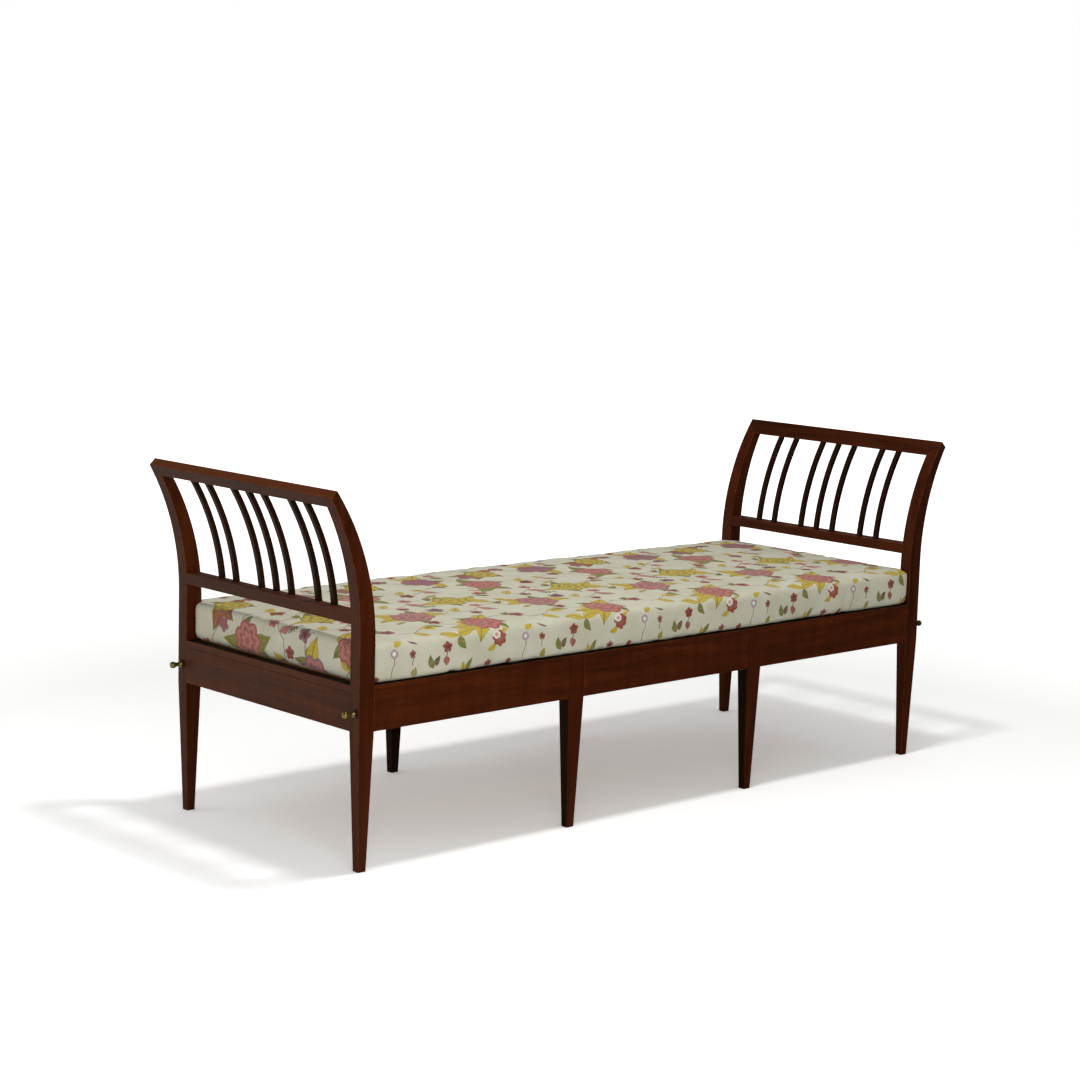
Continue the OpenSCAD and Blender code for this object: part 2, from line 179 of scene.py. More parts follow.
FLOAT, INT, VECTOR, COLOR = [f"NodeSocket{kind}" for kind in ("Float", "Int", "Vector", "Color")]
print("white as a linear colour:", seen(255, 255, 255))

# %% [markdown]
# ## Camera
#
# The photograph was solved for its camera from twenty known points of the bench: the feet, the corners of
# the rails and the tops of the scrolls. The lens looks down by eight degrees from the front left, and the
# camera was held with a slight roll.

# %% Camera at the photograph's place
PHOTO_SIDE_PX = 1080
FOCAL_PX = 2395.6
CAMERA_PLACE = (-3.87472, -4.07253, 1.41071)
CAMERA_YAW, CAMERA_PITCH, CAMERA_ROLL = -42.738, -8.395, 1.628

camera_data = bpy.data.cameras.new("camera")
camera_data.sensor_width = 36.0
camera_data.lens = camera_data.sensor_width * FOCAL_PX / PHOTO_SIDE_PX
camera = new_object("camera", camera_data)
turns = [(CAMERA_YAW, "Z"), (90 + CAMERA_PITCH, "X"), (CAMERA_ROLL, "Z")]
camera.matrix_world = Matrix.Translation(CAMERA_PLACE)
for degrees, axis in turns:
    camera.matrix_world = camera.matrix_world @ Matrix.Rotation(math.radians(degrees), 4, axis)
bpy.context.scene.camera = camera
print("lens in mm:", round(camera_data.lens, 2))

# %% [markdown]
# ## Light, floor and background
#
# The bench stands in a white studio. One softbox hangs over its middle: the shadows of both scrolls lean
# away from it, and the lines from their ends through the tops of the posts meet where it hangs. A wide lamp
# in front of the near corner fills the front and fades towards the far end, and a faint panel beside the
# near end gives its outer face a grey sheen. The camera sees a white background, and so does what mirrors
# the backdrop behind the bench, but the room on the camera's side is dark: that is why the polished fronts
# look deep red. The floor is a pale diffuse sheet that the camera sees a little brighter than it is, and
# more so further out, so that it meets the background without a seam and still takes the shadows.

# %% Lamps and world
# Each lamp: where it hangs, where it looks, its watts and its side in metres. The camera sees none of them
LAMPS = {
    "softbox": ((-0.32, -0.49, 3.4), (-0.32, -0.49, 0), 40.0, 0.36),
    "front_fill": ((-2.2, -2.5, 1.15), (-0.7, -0.1, 0.4), 25.0, 1.4),
    "end_panel": ((-2.1, 1.3, 0.55), (-0.9, 0.0, 0.5), 3.4, 1.0),
}
for name, (place, aim, watts, side) in LAMPS.items():
    data = bpy.data.lights.new(name, "AREA")
    data.energy, data.size = watts, side
    lamp = new_object(name, data)
    lamp.location = place
    lamp.rotation_euler = (Vector(place) - Vector(aim)).to_track_quat("Z", "Y").to_euler()
    lamp.visible_camera = False
bpy.context.scene.view_settings.view_transform = "Standard"

AMBIENT = 0.42
TO_BACKDROP = (0.68, 0.73, 0)
# Each ramp: from low to high of what is measured, and the brightness there
BACKDROP_SIDES = (0.2, 0.7, 0.02, 1.0)
BACKDROP_TOP = (0.2, 0.5, 1.0, 0.05)

world = bpy.data.worlds.new("studio")
world.use_nodes = True
world.node_tree.nodes.clear()
air = Nodes(world.node_tree)
path = air.add("ShaderNodeLightPath").outputs
direction = air.add("ShaderNodeTexCoord").outputs["Generated"]
facing = air.ramp(air.vector("DOT_PRODUCT", direction, TO_BACKDROP), *BACKDROP_SIDES)
below_its_top = air.ramp(air.apart(direction)["Z"], *BACKDROP_TOP)
backdrop = air.times(facing, below_its_top)
reflected = air.larger(path["Is Glossy Ray"], path["Is Transmission Ray"])
ambient = air.plus(AMBIENT, air.times(reflected, air.minus(backdrop, AMBIENT)))
ambient = air.larger(ambient, path["Is Camera Ray"])
sky = air.made("ShaderNodeBackground", {"Color": (1, 1, 1, 1), "Strength": ambient})
air.add("ShaderNodeOutputWorld", {"Surface": sky})
bpy.context.scene.world = world
print("lamps:", list(LAMPS))

# %% The floor
FLOOR_HALF = 30.0
# How bright the floor is for bounced light and for the camera, and how much of the blue it sends back
FLOOR_GREY, FLOOR_SEEN, FLOOR_BLUE = 0.8, 1.15, 0.985
# From 1.6 m to 4.5 m off the bench's middle the camera sees a lift that grows to white
FLOOR_LIFT = (1.6, 4.5, 0.2, 1.0)
TO_DARK_ROOM = (0.69, -0.72, 0)
DARK_ROOM_EDGE = (-0.6, 0.4)

floor_mesh = bpy.data.meshes.new("floor")
floor_corners = [(-1, -1), (1, -1), (1, 1), (-1, 1)]
floor_mesh.from_pydata([(x * FLOOR_HALF, y * FLOOR_HALF, 0) for x, y in floor_corners], [], [(0, 1, 2, 3)])
floor = new_object("floor", floor_mesh)

sheet, s = new_material("studio floor")
spot = s.own_place()
path = s.add("ShaderNodeLightPath").outputs
lift = s.times(path["Is Camera Ray"], s.ramp(s.vector("LENGTH", spot), *FLOOR_LIFT))
room_side = s.ramp(s.vector("DOT_PRODUCT", spot, TO_DARK_ROOM), *DARK_ROOM_EDGE)
mirrored_loss = s.times(s.times(path["Is Glossy Ray"], room_side), FLOOR_GREY)
grey = s.minus(s.ramp(path["Is Camera Ray"], 0, 1, FLOOR_GREY, FLOOR_SEEN), mirrored_loss)
matt = s.made("ShaderNodeBsdfDiffuse", {"Color": s.together(grey, grey, s.times(grey, FLOOR_BLUE))})
glow = s.made("ShaderNodeEmission", {"Color": (1, 1, 1, 1), "Strength": lift})
s.add("ShaderNodeOutputMaterial", {"Surface": s.made("ShaderNodeAddShader", {0: matt, 1: glow})})
floor_mesh.materials.append(sheet)
print("floor half side in m:", FLOOR_HALF)

# %% [markdown]
# ## Wood
#
# Mahogany shows three things at once: long streaks of colour along the grain, fine lines of open pores, and
# on the veneered rails a ribbon figure that runs across the grain. All of them are noise stretched by
# different amounts along and across the grain. Every wooden mesh carries a vector attribute named grain,
# whose X runs along the timber whichever way the piece is turned, so one group of nodes serves them all and
# no two pieces show the same figure.

# %% The wood figure group
# Each noise: its scale in a metre along and across the grain, detail, roughness, distortion, range kept
FIGURE = {
    "Streaks": (2.6, 46, 3, 0.55, 0.6, 0.3, 0.7),
    "Fine": (16, 520, 3, 0.6, 0.0, 0.3, 0.72),
    "Pores": (60, 1500, 1, 0.5, 0.0, 0.6, 0.72),
    "Ribbon": (42, 5, 3, 0.6, 0.4, 0.33, 0.68),
}
figure_tree, g, given = new_group("wood figure", [("Place", VECTOR, None)],
                                  [(name, FLOAT) for name in FIGURE])


def stretched(writer, place, along, across):
    return writer.vector("MULTIPLY", place, (along, across, across))


for name, (along, across, detail, roughness, distortion, low, high) in FIGURE.items():
    figure = g.noise(stretched(g, given["Place"], along, across), 1, detail, roughness, distortion)
    g.give(name, g.ramp(figure, low, high))
print("wood figure nodes:", len(figure_tree.nodes))

# %% [markdown]
# Two hundred years of use round the edges off and rub the dark polish thin there. The eased edges of the
# meshes carry a face attribute named edge, and noise breaks it up, so that the paler wood shows in patches.
# The same group gives faint scuffs over the faces.

# %% The handling wear group
wear_tree, g, given = new_group("handling wear", [("Place", VECTOR, None)],
                                [("Rubbed edge", FLOAT), ("Scuffs", FLOAT)])
on_edge = g.attribute("edge", "Fac")
patchy = g.mask(given["Place"], 38, 3, 0.6, 0.38, 0.66)
g.give("Rubbed edge", g.times(on_edge, patchy))
g.give("Scuffs", g.mask(stretched(g, given["Place"], 25, 140), 1, 4, 0.7, 0.6, 0.75))
print("handling wear nodes:", len(wear_tree.nodes))

# %% Polished mahogany, plain and veneered


def layered(w, colour, layers):
    """Lays tones over a colour, each by its mask times its share."""
    for mask, share, tone in layers:
        colour = w.mix(w.times(mask, share), colour, tone)
    return colour


def principled(w, colour, roughness, height, relief, more):
    """Ends a material in its shader. relief is the strength of the bump and its depth in mm."""
    strength, depth = relief
    bump = w.made("ShaderNodeBump", {"Height": height, "Strength": strength, "Distance": depth * MM})
    inputs = {"Base Color": colour, "Roughness": roughness, "Normal": bump, **more}
    w.add("ShaderNodeOutputMaterial", {"Surface": w.made("ShaderNodeBsdfPrincipled", inputs)})


# From where to where a part of the normal counts as turned that way
FACING = (0.7, 0.9)


def facing_up(w):
    """1 on the faces that look up, 0 on the others."""
    return w.ramp(w.apart(w.add("ShaderNodeNewGeometry").outputs["True Normal"])["Z"], *FACING)


def facing_in(w):
    """0 on the faces that look out to the front or the back of the bench, 1 on those that look under it."""
    looks = w.apart(w.add("ShaderNodeNewGeometry").outputs["True Normal"])["Y"]
    side = w.math("SIGN", w.apart(w.own_place())["Y"])
    return w.ramp(w.times(looks, side), *FACING, 1.0, 0.0)


WAX_TINT = (1.0, 0.8, 0.45, 1.0)
PORE, VENEER_GAP = seen(26, 10, 5), seen(20, 8, 4)
VENEER_GAP_HALF = 0.7 * MM
# Roughness of the polish from smooth to fibrous, and what scuffs and dull faces add to it
POLISH, SCUFFED, DULL = (0.4, 0.48), 0.15, 0.35


def mahogany(name, tones, ribbon, joint_at=None, toned_faces=facing_up, wear_and_shading_tone=None, wear_and_shading_share=0.0):
    """Polished mahogany. tones are dark, light and worn, and ribbon is the share of ribbon figure. joint_at
    is where two lengths of veneer meet. The chosen faces have little polish, and take a share of a tone:
    a painted highlight with wear on the tops of the crests, painted shade on the tops of the rail veneer
    and on the faces of the middle legs that look under the bench."""
    material, w = new_material(name)
    dark, light, worn = [seen(*tone) for tone in tones]
    grain = w.group(figure_tree, Place=w.attribute("grain", "Vector"))
    wear = w.group(wear_tree, Place=w.own_place())
    dull = toned_faces(w)
    # Last layer: the chosen faces' tone, a painted highlight with wear on the crests, else painted shade
    layers = [(grain["Fine"], 0.35, light), (grain["Ribbon"], ribbon, dark), (grain["Pores"], 0.6, PORE),
              (wear["Scuffs"], 0.25, worn), (wear["Rubbed edge"], 0.75, worn),
              (dull, wear_and_shading_share, seen(*wear_and_shading_tone) if wear_and_shading_tone else worn)]
    height = w.minus(w.times(grain["Fine"], 0.3), grain["Pores"])
    if joint_at is not None:
        joint = w.math("COMPARE", w.apart(w.own_place())["X"], joint_at, VENEER_GAP_HALF)
        layers.append((joint, 0.7, VENEER_GAP))
        height = w.minus(height, joint)
    rough = w.plus(w.ramp(grain["Fine"], 0, 1, *POLISH), w.times(wear["Scuffs"], SCUFFED))
    rough = w.plus(rough, w.times(dull, DULL))
    principled(w, layered(w, w.mix(grain["Streaks"], dark, light), layers), rough, height, (0.5, 0.15),
               {"Specular IOR Level": 0.2, "Specular Tint": WAX_TINT})
    return material


solid_mahogany = mahogany("mahogany", [(46, 13, 2), (82, 29, 4), (140, 72, 30)], 0.15)
# Crest tops: a pale orange that is rubbed wear and a painted highlight of the softbox on them
crest_mahogany = mahogany("mahogany of the crests", [(42, 13, 2), (74, 28, 5), (140, 72, 30)], 0.15,
                          wear_and_shading_tone=(206, 110, 34), wear_and_shading_share=0.95)
# Rail tops: near black, painted shade of the crevice under the edge of the mattress
veneer = mahogany("mahogany veneer", [(52, 15, 2), (94, 36, 5), (136, 68, 28)], 0.5, 24 * MM,
                  wear_and_shading_tone=(14, 7, 3), wear_and_shading_share=0.85)
# Middle legs: near black on the faces that look under the bench, painted shade under the seat
leg_mahogany = mahogany("mahogany of the middle legs", [(46, 13, 2), (82, 29, 4), (130, 66, 28)], 0.15,
                        toned_faces=facing_in, wear_and_shading_tone=(14, 6, 3), wear_and_shading_share=0.85)
# Slats: a darker copy of the mahogany, painted shade inside the ends
shaded_mahogany = mahogany("mahogany darkened for shade", [(24, 9, 3), (44, 18, 6), (96, 50, 24)], 0.15)
print("mahogany nodes:", len(solid_mahogany.node_tree.nodes))

# %% [markdown]
# The boards and bearers under the mattress are plain softwood that was planed and left raw. It has the same
# figure at another strength: pale wood with wide yellow-brown late rings, greyed by dust.

# %% Raw softwood
EARLY_WOOD, LATE_WOOD, RING_LINE = seen(196, 152, 98), seen(160, 112, 64), seen(128, 88, 50)
DUST, GREYED_EDGE = seen(120, 100, 78), seen(140, 110, 78)


def softwood(name, dressed):
    """Raw softwood. A dressed mesh is read by its grain, and a solid by its own place."""
    material, w = new_material(name)
    place = w.attribute("grain", "Vector") if dressed else w.own_place()
    grain = w.group(figure_tree, Place=place)
    wear = w.group(wear_tree, Place=w.own_place())
    layers = [(grain["Fine"], 0.3, RING_LINE), (wear["Scuffs"], 0.4, DUST),
              (wear["Rubbed edge"], 0.5, GREYED_EDGE)]
    colour = layered(w, w.mix(grain["Streaks"], EARLY_WOOD, LATE_WOOD), layers)
    rough = w.ramp(grain["Fine"], 0, 1, 0.7, 0.85)
    principled(w, colour, rough, grain["Fine"], (0.5, 0.3), {"Specular IOR Level": 0.3})
    return material


raw_board = softwood("softwood boards", True)
raw_peg = softwood("softwood pegs", False)
print("softwood nodes:", len(raw_board.node_tree.nodes))

# %% [markdown]
# ## Metal
#
# The knobs of the bed bolts are brass that has dulled to olive, and the washers, nuts and screws are iron
# with a dark oxide skin. One group makes the blotches of both: a patina mask from two sizes of noise.

# %% Patina, brass and iron
patina_tree, g, given = new_group("patina", [("Place", VECTOR, None), ("Blotch size", FLOAT, 4 * MM)],
                                  [("Patina", FLOAT)])
scaled = g.vector("DIVIDE", given["Place"], given["Blotch size"])
blotches = g.noise(scaled, 1, 4, 0.6)
specks = g.noise(scaled, 6, 2, 0.6)
g.give("Patina", g.ramp(g.plus(g.times(specks, 0.35), blotches), 0.5, 0.85))


def aged_metal(name, bright, dull, blotch, roughness):
    """Metal with a skin. roughness is that of the bare metal and of the skin."""
    material, w = new_material(name)
    skin = w.group(patina_tree, Place=w.own_place(), Blotch_size=blotch)["Patina"]
    principled(w, w.mix(skin, bright, dull), w.ramp(skin, 0, 1, *roughness), skin, (0.4, 0.1),
               {"Metallic": w.ramp(skin, 0, 1, 1.0, 0.75)})
    return material


aged_brass = aged_metal("aged brass", seen(192, 164, 94), seen(106, 92, 50), 5 * MM, (0.28, 0.5))
dark_iron = aged_metal("dark iron", seen(92, 84, 76), seen(44, 36, 31), 3 * MM, (0.4, 0.7))
print("metals:", aged_brass.name, dark_iron.name)

# %% [markdown]
# ## Dressing the joinery
#
# The posts, rails, legs and bearers have the right shape already, but a machine edge is razor sharp, and a
# real one catches the light. A copy of each solid is merged from loose triangles into clean faces, its
# outer edges are eased by a little over half a millimetre, and the eased faces are marked for the wear. The
# grain attribute is written along the length of the timber.

# %% A tool that eases edges and lays the grain
EASED = 0.6 * MM
MERGED = 0.01 * MM
SHORTEST_EDGE = 3 * MM
COPLANAR = math.radians(0.1)
CORNER = math.radians(30)
SMOOTH_BELOW = math.radians(12)
# The axes of a place, the one along the timber first
AXES = {"x": (0, 1, 2), "y": (1, 0, 2), "z": (2, 0, 1)}
GRAIN_SHIFT = (3.7, 0.61, 0.43)


def new_piece(name, mesh, material):
    mesh.name = name
    mesh.materials.clear()
    mesh.materials.append(material)
    return new_object(name, mesh)


def to_mesh(form, name):
    """Makes the mesh of a BMesh and frees it."""
    mesh = bpy.data.meshes.new(name)
    form.to_mesh(mesh)
    form.free()
    return mesh


def soften(mesh, sharp_above):
    """Shades a mesh smooth, but for edges that turn by more than sharp_above."""
    mesh.shade_smooth()
    mesh.set_sharp_from_angle(angle=sharp_above)


def evaluated(piece):
    """The piece as its modifiers make it."""
    return piece.evaluated_get(bpy.context.evaluated_depsgraph_get())


def measure(piece):
    """Prints the lowest and highest corner of a piece in mm."""
    corners = np.array(piece.bound_box) / MM
    print(piece.name, corners.min(0).round(1), corners.max(0).round(1))


def rows_of(items, key):
    """A vector of each item, as the rows of an array."""
    values = np.empty(len(items) * 3)
    items.foreach_get(key, values)
    return values.reshape(-1, 3)


def lay_grain(mesh, along, number):
    """Writes the grain attribute: the place of each vertex, X along the timber, shifted for each piece."""
    places = rows_of(mesh.vertices, "co")[:, AXES[along]] + np.array(GRAIN_SHIFT) * number
    grain = mesh.attributes.new("grain", "FLOAT_VECTOR", "POINT")
    grain.data.foreach_set("vector", places.ravel())


def ease(node, along, number, material):
    """A dressed copy of a wooden solid, which stands for it on the frame."""
    form = bmesh.new()
    form.from_mesh(solids[node].data)
    mark = form.faces.layers.float.new("edge")
    bmesh.ops.remove_doubles(form, verts=form.verts, dist=MERGED)
    bmesh.ops.dissolve_limit(form, angle_limit=COPLANAR, verts=form.verts, edges=form.edges)
    outer = [e for e in form.edges if e.is_manifold and e.is_convex
             and e.calc_face_angle() > CORNER and e.calc_length() > SHORTEST_EDGE]
    made = bmesh.ops.bevel(form, geom=outer, offset=EASED, segments=2, profile=0.5, affect="EDGES",
                           clamp_overlap=False)
    for face in made["faces"]:
        face[mark] = 1.0
    mesh = to_mesh(form, node)
    soften(mesh, SMOOTH_BELOW)
    lay_grain(mesh, along, number)
    piece = new_piece("dressed_" + node, mesh, material)
    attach(piece, "frame")
    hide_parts(node)


# %% Posts, rails and legs
SIDES, FRONT_BACK = ("left", "right"), ("front", "back")
CORNERS = [f"{fb}_{side}" for fb in FRONT_BACK for side in SIDES]
# Each kind of timber: its name, where it stands, the axis it runs along, its finish and its slot
TIMBER_KINDS = [
    ("post", CORNERS, "z", solid_mahogany, "mahogany"),
    ("middle_leg", CORNERS, "z", leg_mahogany, "mahogany"),
    ("crest_rail", SIDES, "y", crest_mahogany, "mahogany"),
    ("lower_rail", SIDES, "y", solid_mahogany, "mahogany"),
    ("end_rail", SIDES, "y", veneer, "mahogany"),
    ("rail", FRONT_BACK, "x", veneer, "mahogany"),
    ("bearer", SIDES, "y", raw_board, "softwood"),
    ("ledger", FRONT_BACK, "x", raw_board, "softwood"),
]
timbers = [(f"{where}_{kind}", *rest) for kind, places, *rest in TIMBER_KINDS for where in places]
for number, (node, along, material, slot) in enumerate(timbers):
    ease(node, along, number, material)
print("eased timbers:", len(timbers))

# %% [markdown]
# ## Slats
#
# Seven curved slats stand in each end, in groups of two, three and two. They repeat one shape, so Geometry
# Nodes make them: a rounded rectangle is swept along an arc, and copies are set at places that come from the
# index. The same tree makes both ends, with the arc's middle and its angles as inputs.

# %% A tool that runs a Geometry Nodes tree


def grow(name, tree, material, **values):
    """Runs a tree on an empty object, keeps the result as a plain mesh and removes the modifier."""
    maker = new_object(name, bpy.data.meshes.new(name))
    modifier = maker.modifiers.new("maker", "NODES")
    modifier.node_group = tree
    identifiers = {s.name: s.identifier for s in tree.interface.items_tree if s.in_out == "INPUT"}
    modifier[identifiers["Finish"]] = material
    for label, value in values.items():
        modifier[identifiers[label.replace("_", " ")]] = value
    mesh = bpy.data.meshes.new_from_object(evaluated(maker))
    maker.modifiers.remove(modifier)
    old_mesh, maker.data = maker.data, mesh
    bpy.data.meshes.remove(old_mesh)
    mesh.name = name
    return maker


def new_maker(name, inputs):
    """A Geometry Nodes tree with a Finish and the named inputs, and one geometry output."""
    sockets = [("Finish", "NodeSocketMaterial", None), *inputs]
    return new_group(name, sockets, [("Geometry", "NodeSocketGeometry")], "GeometryNodeTree")


def bar(writer, spine, width, thickness, radius):
    """A bar of rounded section along a spine."""
    section = writer.made("GeometryNodeCurvePrimitiveQuadrilateral", {"Width": width, "Height": thickness})
    corners = {"Curve": section, "Count": 2, "Radius": radius}
    eased = writer.made("GeometryNodeFilletCurve", corners, mode="POLY")
    return writer.made("GeometryNodeCurveToMesh", {"Curve": spine, "Profile Curve": eased, "Fill Caps": True})


def store(writer, geometry, name, value, data_type, domain):
    inputs = {"Geometry": geometry, "Name": name, "Value": value}
    return writer.made("GeometryNodeStoreNamedAttribute", inputs, data_type=data_type, domain=domain)


def points_in_line(writer, count, step, first=(0, 0, 0)):
    """Points at equal steps along X."""
    offset = writer.together(step, 0.0, 0.0)
    return writer.made("GeometryNodeMeshLine", {"Count": count, "Start Location": first, "Offset": offset})


def copies_at(writer, points, shape):
    return writer.made("GeometryNodeInstanceOnPoints", {"Points": points, "Instance": shape})


def realised(writer, copies):
    return writer.made("GeometryNodeRealizeInstances", {"Geometry": copies})


def finish_copies(writer, points, shape, finish, swap):
    """Sets copies of a shape, lays their grain and gives them their material. swap names the axes of a place
    in the grain's order."""
    copies, index = copies_at(writer, points, shape), writer.made("GeometryNodeInputIndex")
    real = realised(writer, store(writer, copies, "number", index, "FLOAT", "INSTANCE"))
    place = writer.apart(writer.made("GeometryNodeInputPosition"))
    number = writer.made("GeometryNodeInputNamedAttribute", {"Name": "number"}, data_type="FLOAT")
    turned = writer.together(*[place[axis] for axis in swap])
    shift = writer.vector("MULTIPLY", writer.together(number, number, number), GRAIN_SHIFT)
    grained = store(writer, real, "grain", writer.vector("ADD", turned, shift), "FLOAT_VECTOR", "POINT")
    flat = writer.made("GeometryNodeSetShadeSmooth", {"Geometry": grained, "Shade Smooth": False})
    writer.give("Geometry", writer.made("GeometryNodeSetMaterial", {"Geometry": flat, "Material": finish}))


# %% The tree of curved slats
ARC_STEPS = 33
# Slats further from the middle one than this, in steps, are in the outer groups
GROUP_EDGE = 1.5

slat_tree, g, given = new_maker("curved slats", [
    ("Arc radius", FLOAT, 0.527), ("Arc middle", VECTOR, (0, 0, 0)), ("First angle", FLOAT, 0.1),
    ("Sweep angle", FLOAT, 0.4), ("Width", FLOAT, 12 * MM), ("Thickness", FLOAT, 11 * MM),
    ("Edge radius", FLOAT, 0.8 * MM), ("Count", INT, 7), ("Pitch", FLOAT, 53.5 * MM),
    ("Group gap", FLOAT, 40 * MM),
])
arc = g.made("GeometryNodeCurveArc", {
    "Resolution": ARC_STEPS, "Radius": given["Arc radius"], "Start Angle": given["First angle"],
    "Sweep Angle": given["Sweep angle"]})
upright = g.made("GeometryNodeTransform", {"Geometry": arc, "Translation": given["Arc middle"],
                                           "Rotation": (math.radians(90), 0, 0)})
slat = bar(g, upright, given["Width"], given["Thickness"], given["Edge radius"])
half_count = g.over(g.minus(given["Count"], 1), 2)
from_middle = g.minus(g.made("GeometryNodeInputIndex"), half_count)
in_outer_group = g.math("GREATER_THAN", g.size(from_middle), GROUP_EDGE)
group_shift = g.times(g.times(g.math("SIGN", from_middle), in_outer_group), given["Group gap"])
across = g.plus(g.times(from_middle, given["Pitch"]), group_shift)
spots = g.made("GeometryNodePoints", {"Count": given["Count"], "Position": g.together(0.0, across, 0.0)})
finish_copies(g, spots, slat, given["Finish"], "ZXY")

# %% Slats of both ends
SLAT_COUNT = 7
POST_INNER = 860 * MM
INNER_R = 534 * MM
INNER_START = 483 * MM
SLAT_SETBACK, SLAT_THICKNESS = 1.5 * MM, 11 * MM
slat_radius = INNER_R - SLAT_SETBACK - SLAT_THICKNESS / 2
slat_bottom, slat_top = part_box("left_lower_rail")[1].z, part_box("left_crest_rail")[0].z
first_angle = math.asin((slat_bottom - INNER_START) / slat_radius)
last_angle = math.asin((slat_top - INNER_START) / slat_radius)
for side, sign in (("left", -1), ("right", 1)):
    start = first_angle if side == "left" else math.pi - first_angle
    slats = grow(f"{side}_slats", slat_tree, shaded_mahogany, Arc_radius=slat_radius,
                 Arc_middle=(sign * (POST_INNER + INNER_R), 0, INNER_START), First_angle=start,
                 Sweep_angle=-sign * (last_angle - first_angle))
    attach(slats, "frame")
    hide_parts(*[f"{side}_slat_{i + 1}" for i in range(SLAT_COUNT)])
    measure(slats)

# %% [markdown]
# ## Seat boards
#
# Ten loose boards lie across the ledgers and carry the mattress. They are one board at equal steps, each
# with its own stretch of grain, so they come from a short tree as well.

# %% The tree of seat boards
BOARD_COUNT = 10
board_tree, g, given = new_maker("seat boards", [
    ("Count", INT, BOARD_COUNT), ("Step", FLOAT, 0.17), ("First", VECTOR, (0, 0, 0)),
    ("Width", FLOAT, 0.156), ("Thickness", FLOAT, 15 * MM), ("Half length", FLOAT, 0.29),
    ("Edge radius", FLOAT, 1 * MM),
])
from_end = g.together(0.0, g.times(given["Half length"], -1.0), 0.0)
to_end = g.together(0.0, given["Half length"], 0.0)
spine = g.made("GeometryNodeCurvePrimitiveLine", {"Start": from_end, "End": to_end})
board = bar(g, spine, given["Width"], given["Thickness"], given["Edge radius"])
spots = points_in_line(g, given["Count"], given["Step"], given["First"])
finish_copies(g, spots, board, given["Finish"], "YXZ")

first_low, first_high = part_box("seat_board_1")
board_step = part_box("seat_board_2")[0].x - first_low.x
boards = grow("seat_boards", board_tree, raw_board, Step=board_step, First=(first_low + first_high) / 2,
              Width=first_high.x - first_low.x, Thickness=first_high.z - first_low.z,
              Half_length=first_high.y)
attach(boards, "frame")
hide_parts(*[f"seat_board_{i + 1}" for i in range(BOARD_COUNT)])
measure(boards)

# %% [markdown]
# ## Bed bolts
#
# Four brass bolts draw the ends against the long rails. The head is a small collar, a neck and a ball, turned
# on a lathe, so one profile is spun about the bolt's axis. A real thread is cut on the last part of the
# shank, where the captive nut sits. The bolt rides on its own body, so it turns and comes out with the joint.

# %% One profile, spun into four bolts
LATHE_STEPS = 40
HEAD_LENGTH, SHANK_RADIUS = 28.0, 4.0
HEAD_PROFILE = [
    (0, 0), (4.2, 0.3), (6.3, 1.8), (7.4, 4.6), (7.4, 7.6), (6.6, 10.4), (5.4, 12.6), (4.7, 14.0),
    (4.4, 17.0), (4.6, 20.5), (5.2, 22.4), (6.8, 23.8), (7.5, 25.0), (7.5, 27.4), (7.0, HEAD_LENGTH),
]
THREAD_PITCH, THREAD_LENGTH, THREAD_DEPTH = 2.0, 28.0, 0.8
TURNED_SHARP = math.radians(40)


def shank_profile(end):
    """The shank from the head to its tip, with the thread's crests and roots. Radius and place in mm."""
    start = end - THREAD_LENGTH
    profile = [(SHANK_RADIUS, HEAD_LENGTH), (SHANK_RADIUS, start)]
    for turn in range(int(THREAD_LENGTH / THREAD_PITCH) - 1):
        root = start + (turn + 0.5) * THREAD_PITCH
        profile += [(SHANK_RADIUS - THREAD_DEPTH, root), (SHANK_RADIUS, root + THREAD_PITCH / 2)]
    return [*profile, (SHANK_RADIUS - THREAD_DEPTH, end), (0, end)]


def turn_bolt(corner):
    """A bolt at one corner. Its head looks out, to the left or to the right."""
    sign = -1 if "left" in corner else 1
    low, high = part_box(f"{corner}_bed_bolt")
    outer = low.x if sign < 0 else high.x
    middle = (low + high) / 2
    profile = HEAD_PROFILE + shank_profile((high.x - low.x) / MM)
    form = bmesh.new()
    points = [form.verts.new((outer - sign * at * MM, middle.y, middle.z + r * MM)) for r, at in profile]
    lines = [form.edges.new(pair) for pair in zip(points, points[1:])]
    bmesh.ops.spin(form, geom=points + lines, cent=(outer, middle.y, middle.z), axis=(1, 0, 0),
                   angle=2 * math.pi, steps=LATHE_STEPS)
    bmesh.ops.remove_doubles(form, verts=form.verts, dist=MERGED)
    bmesh.ops.recalc_face_normals(form, faces=form.faces)
    mesh = to_mesh(form, corner)
    soften(mesh, TURNED_SHARP)
    bolt = new_piece(f"{corner}_turned_bolt", mesh, aged_brass)
    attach(bolt, f"{corner}_bolt")
    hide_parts(f"{corner}_bed_bolt")
    measure(bolt)


for corner in CORNERS:
    turn_bolt(corner)

# %% [markdown]
# The washers, the nuts in their pockets and the dowels inside the crest's corners keep their solids, whose
# shape is right, and only take a finish.

# %% Finishes of the solids that stay
plain_solids = {f"{corner}_washer": dark_iron for corner in CORNERS}
plain_solids.update({"captive_nuts": dark_iron, "crest_dowels": raw_peg})
for node, material in plain_solids.items():
    solids[node].data.materials.clear()
    solids[node].data.materials.append(material)
print("finished solids:", len(plain_solids))

# %% [markdown]
# ## Screws
#
# Slotted screws hold the ledgers and the middle legs. The head is drawn once, as two half discs with a slot
# between them over a cone, and Geometry Nodes set copies of it along a row of pairs. The row at the back is
# the front one turned half round.

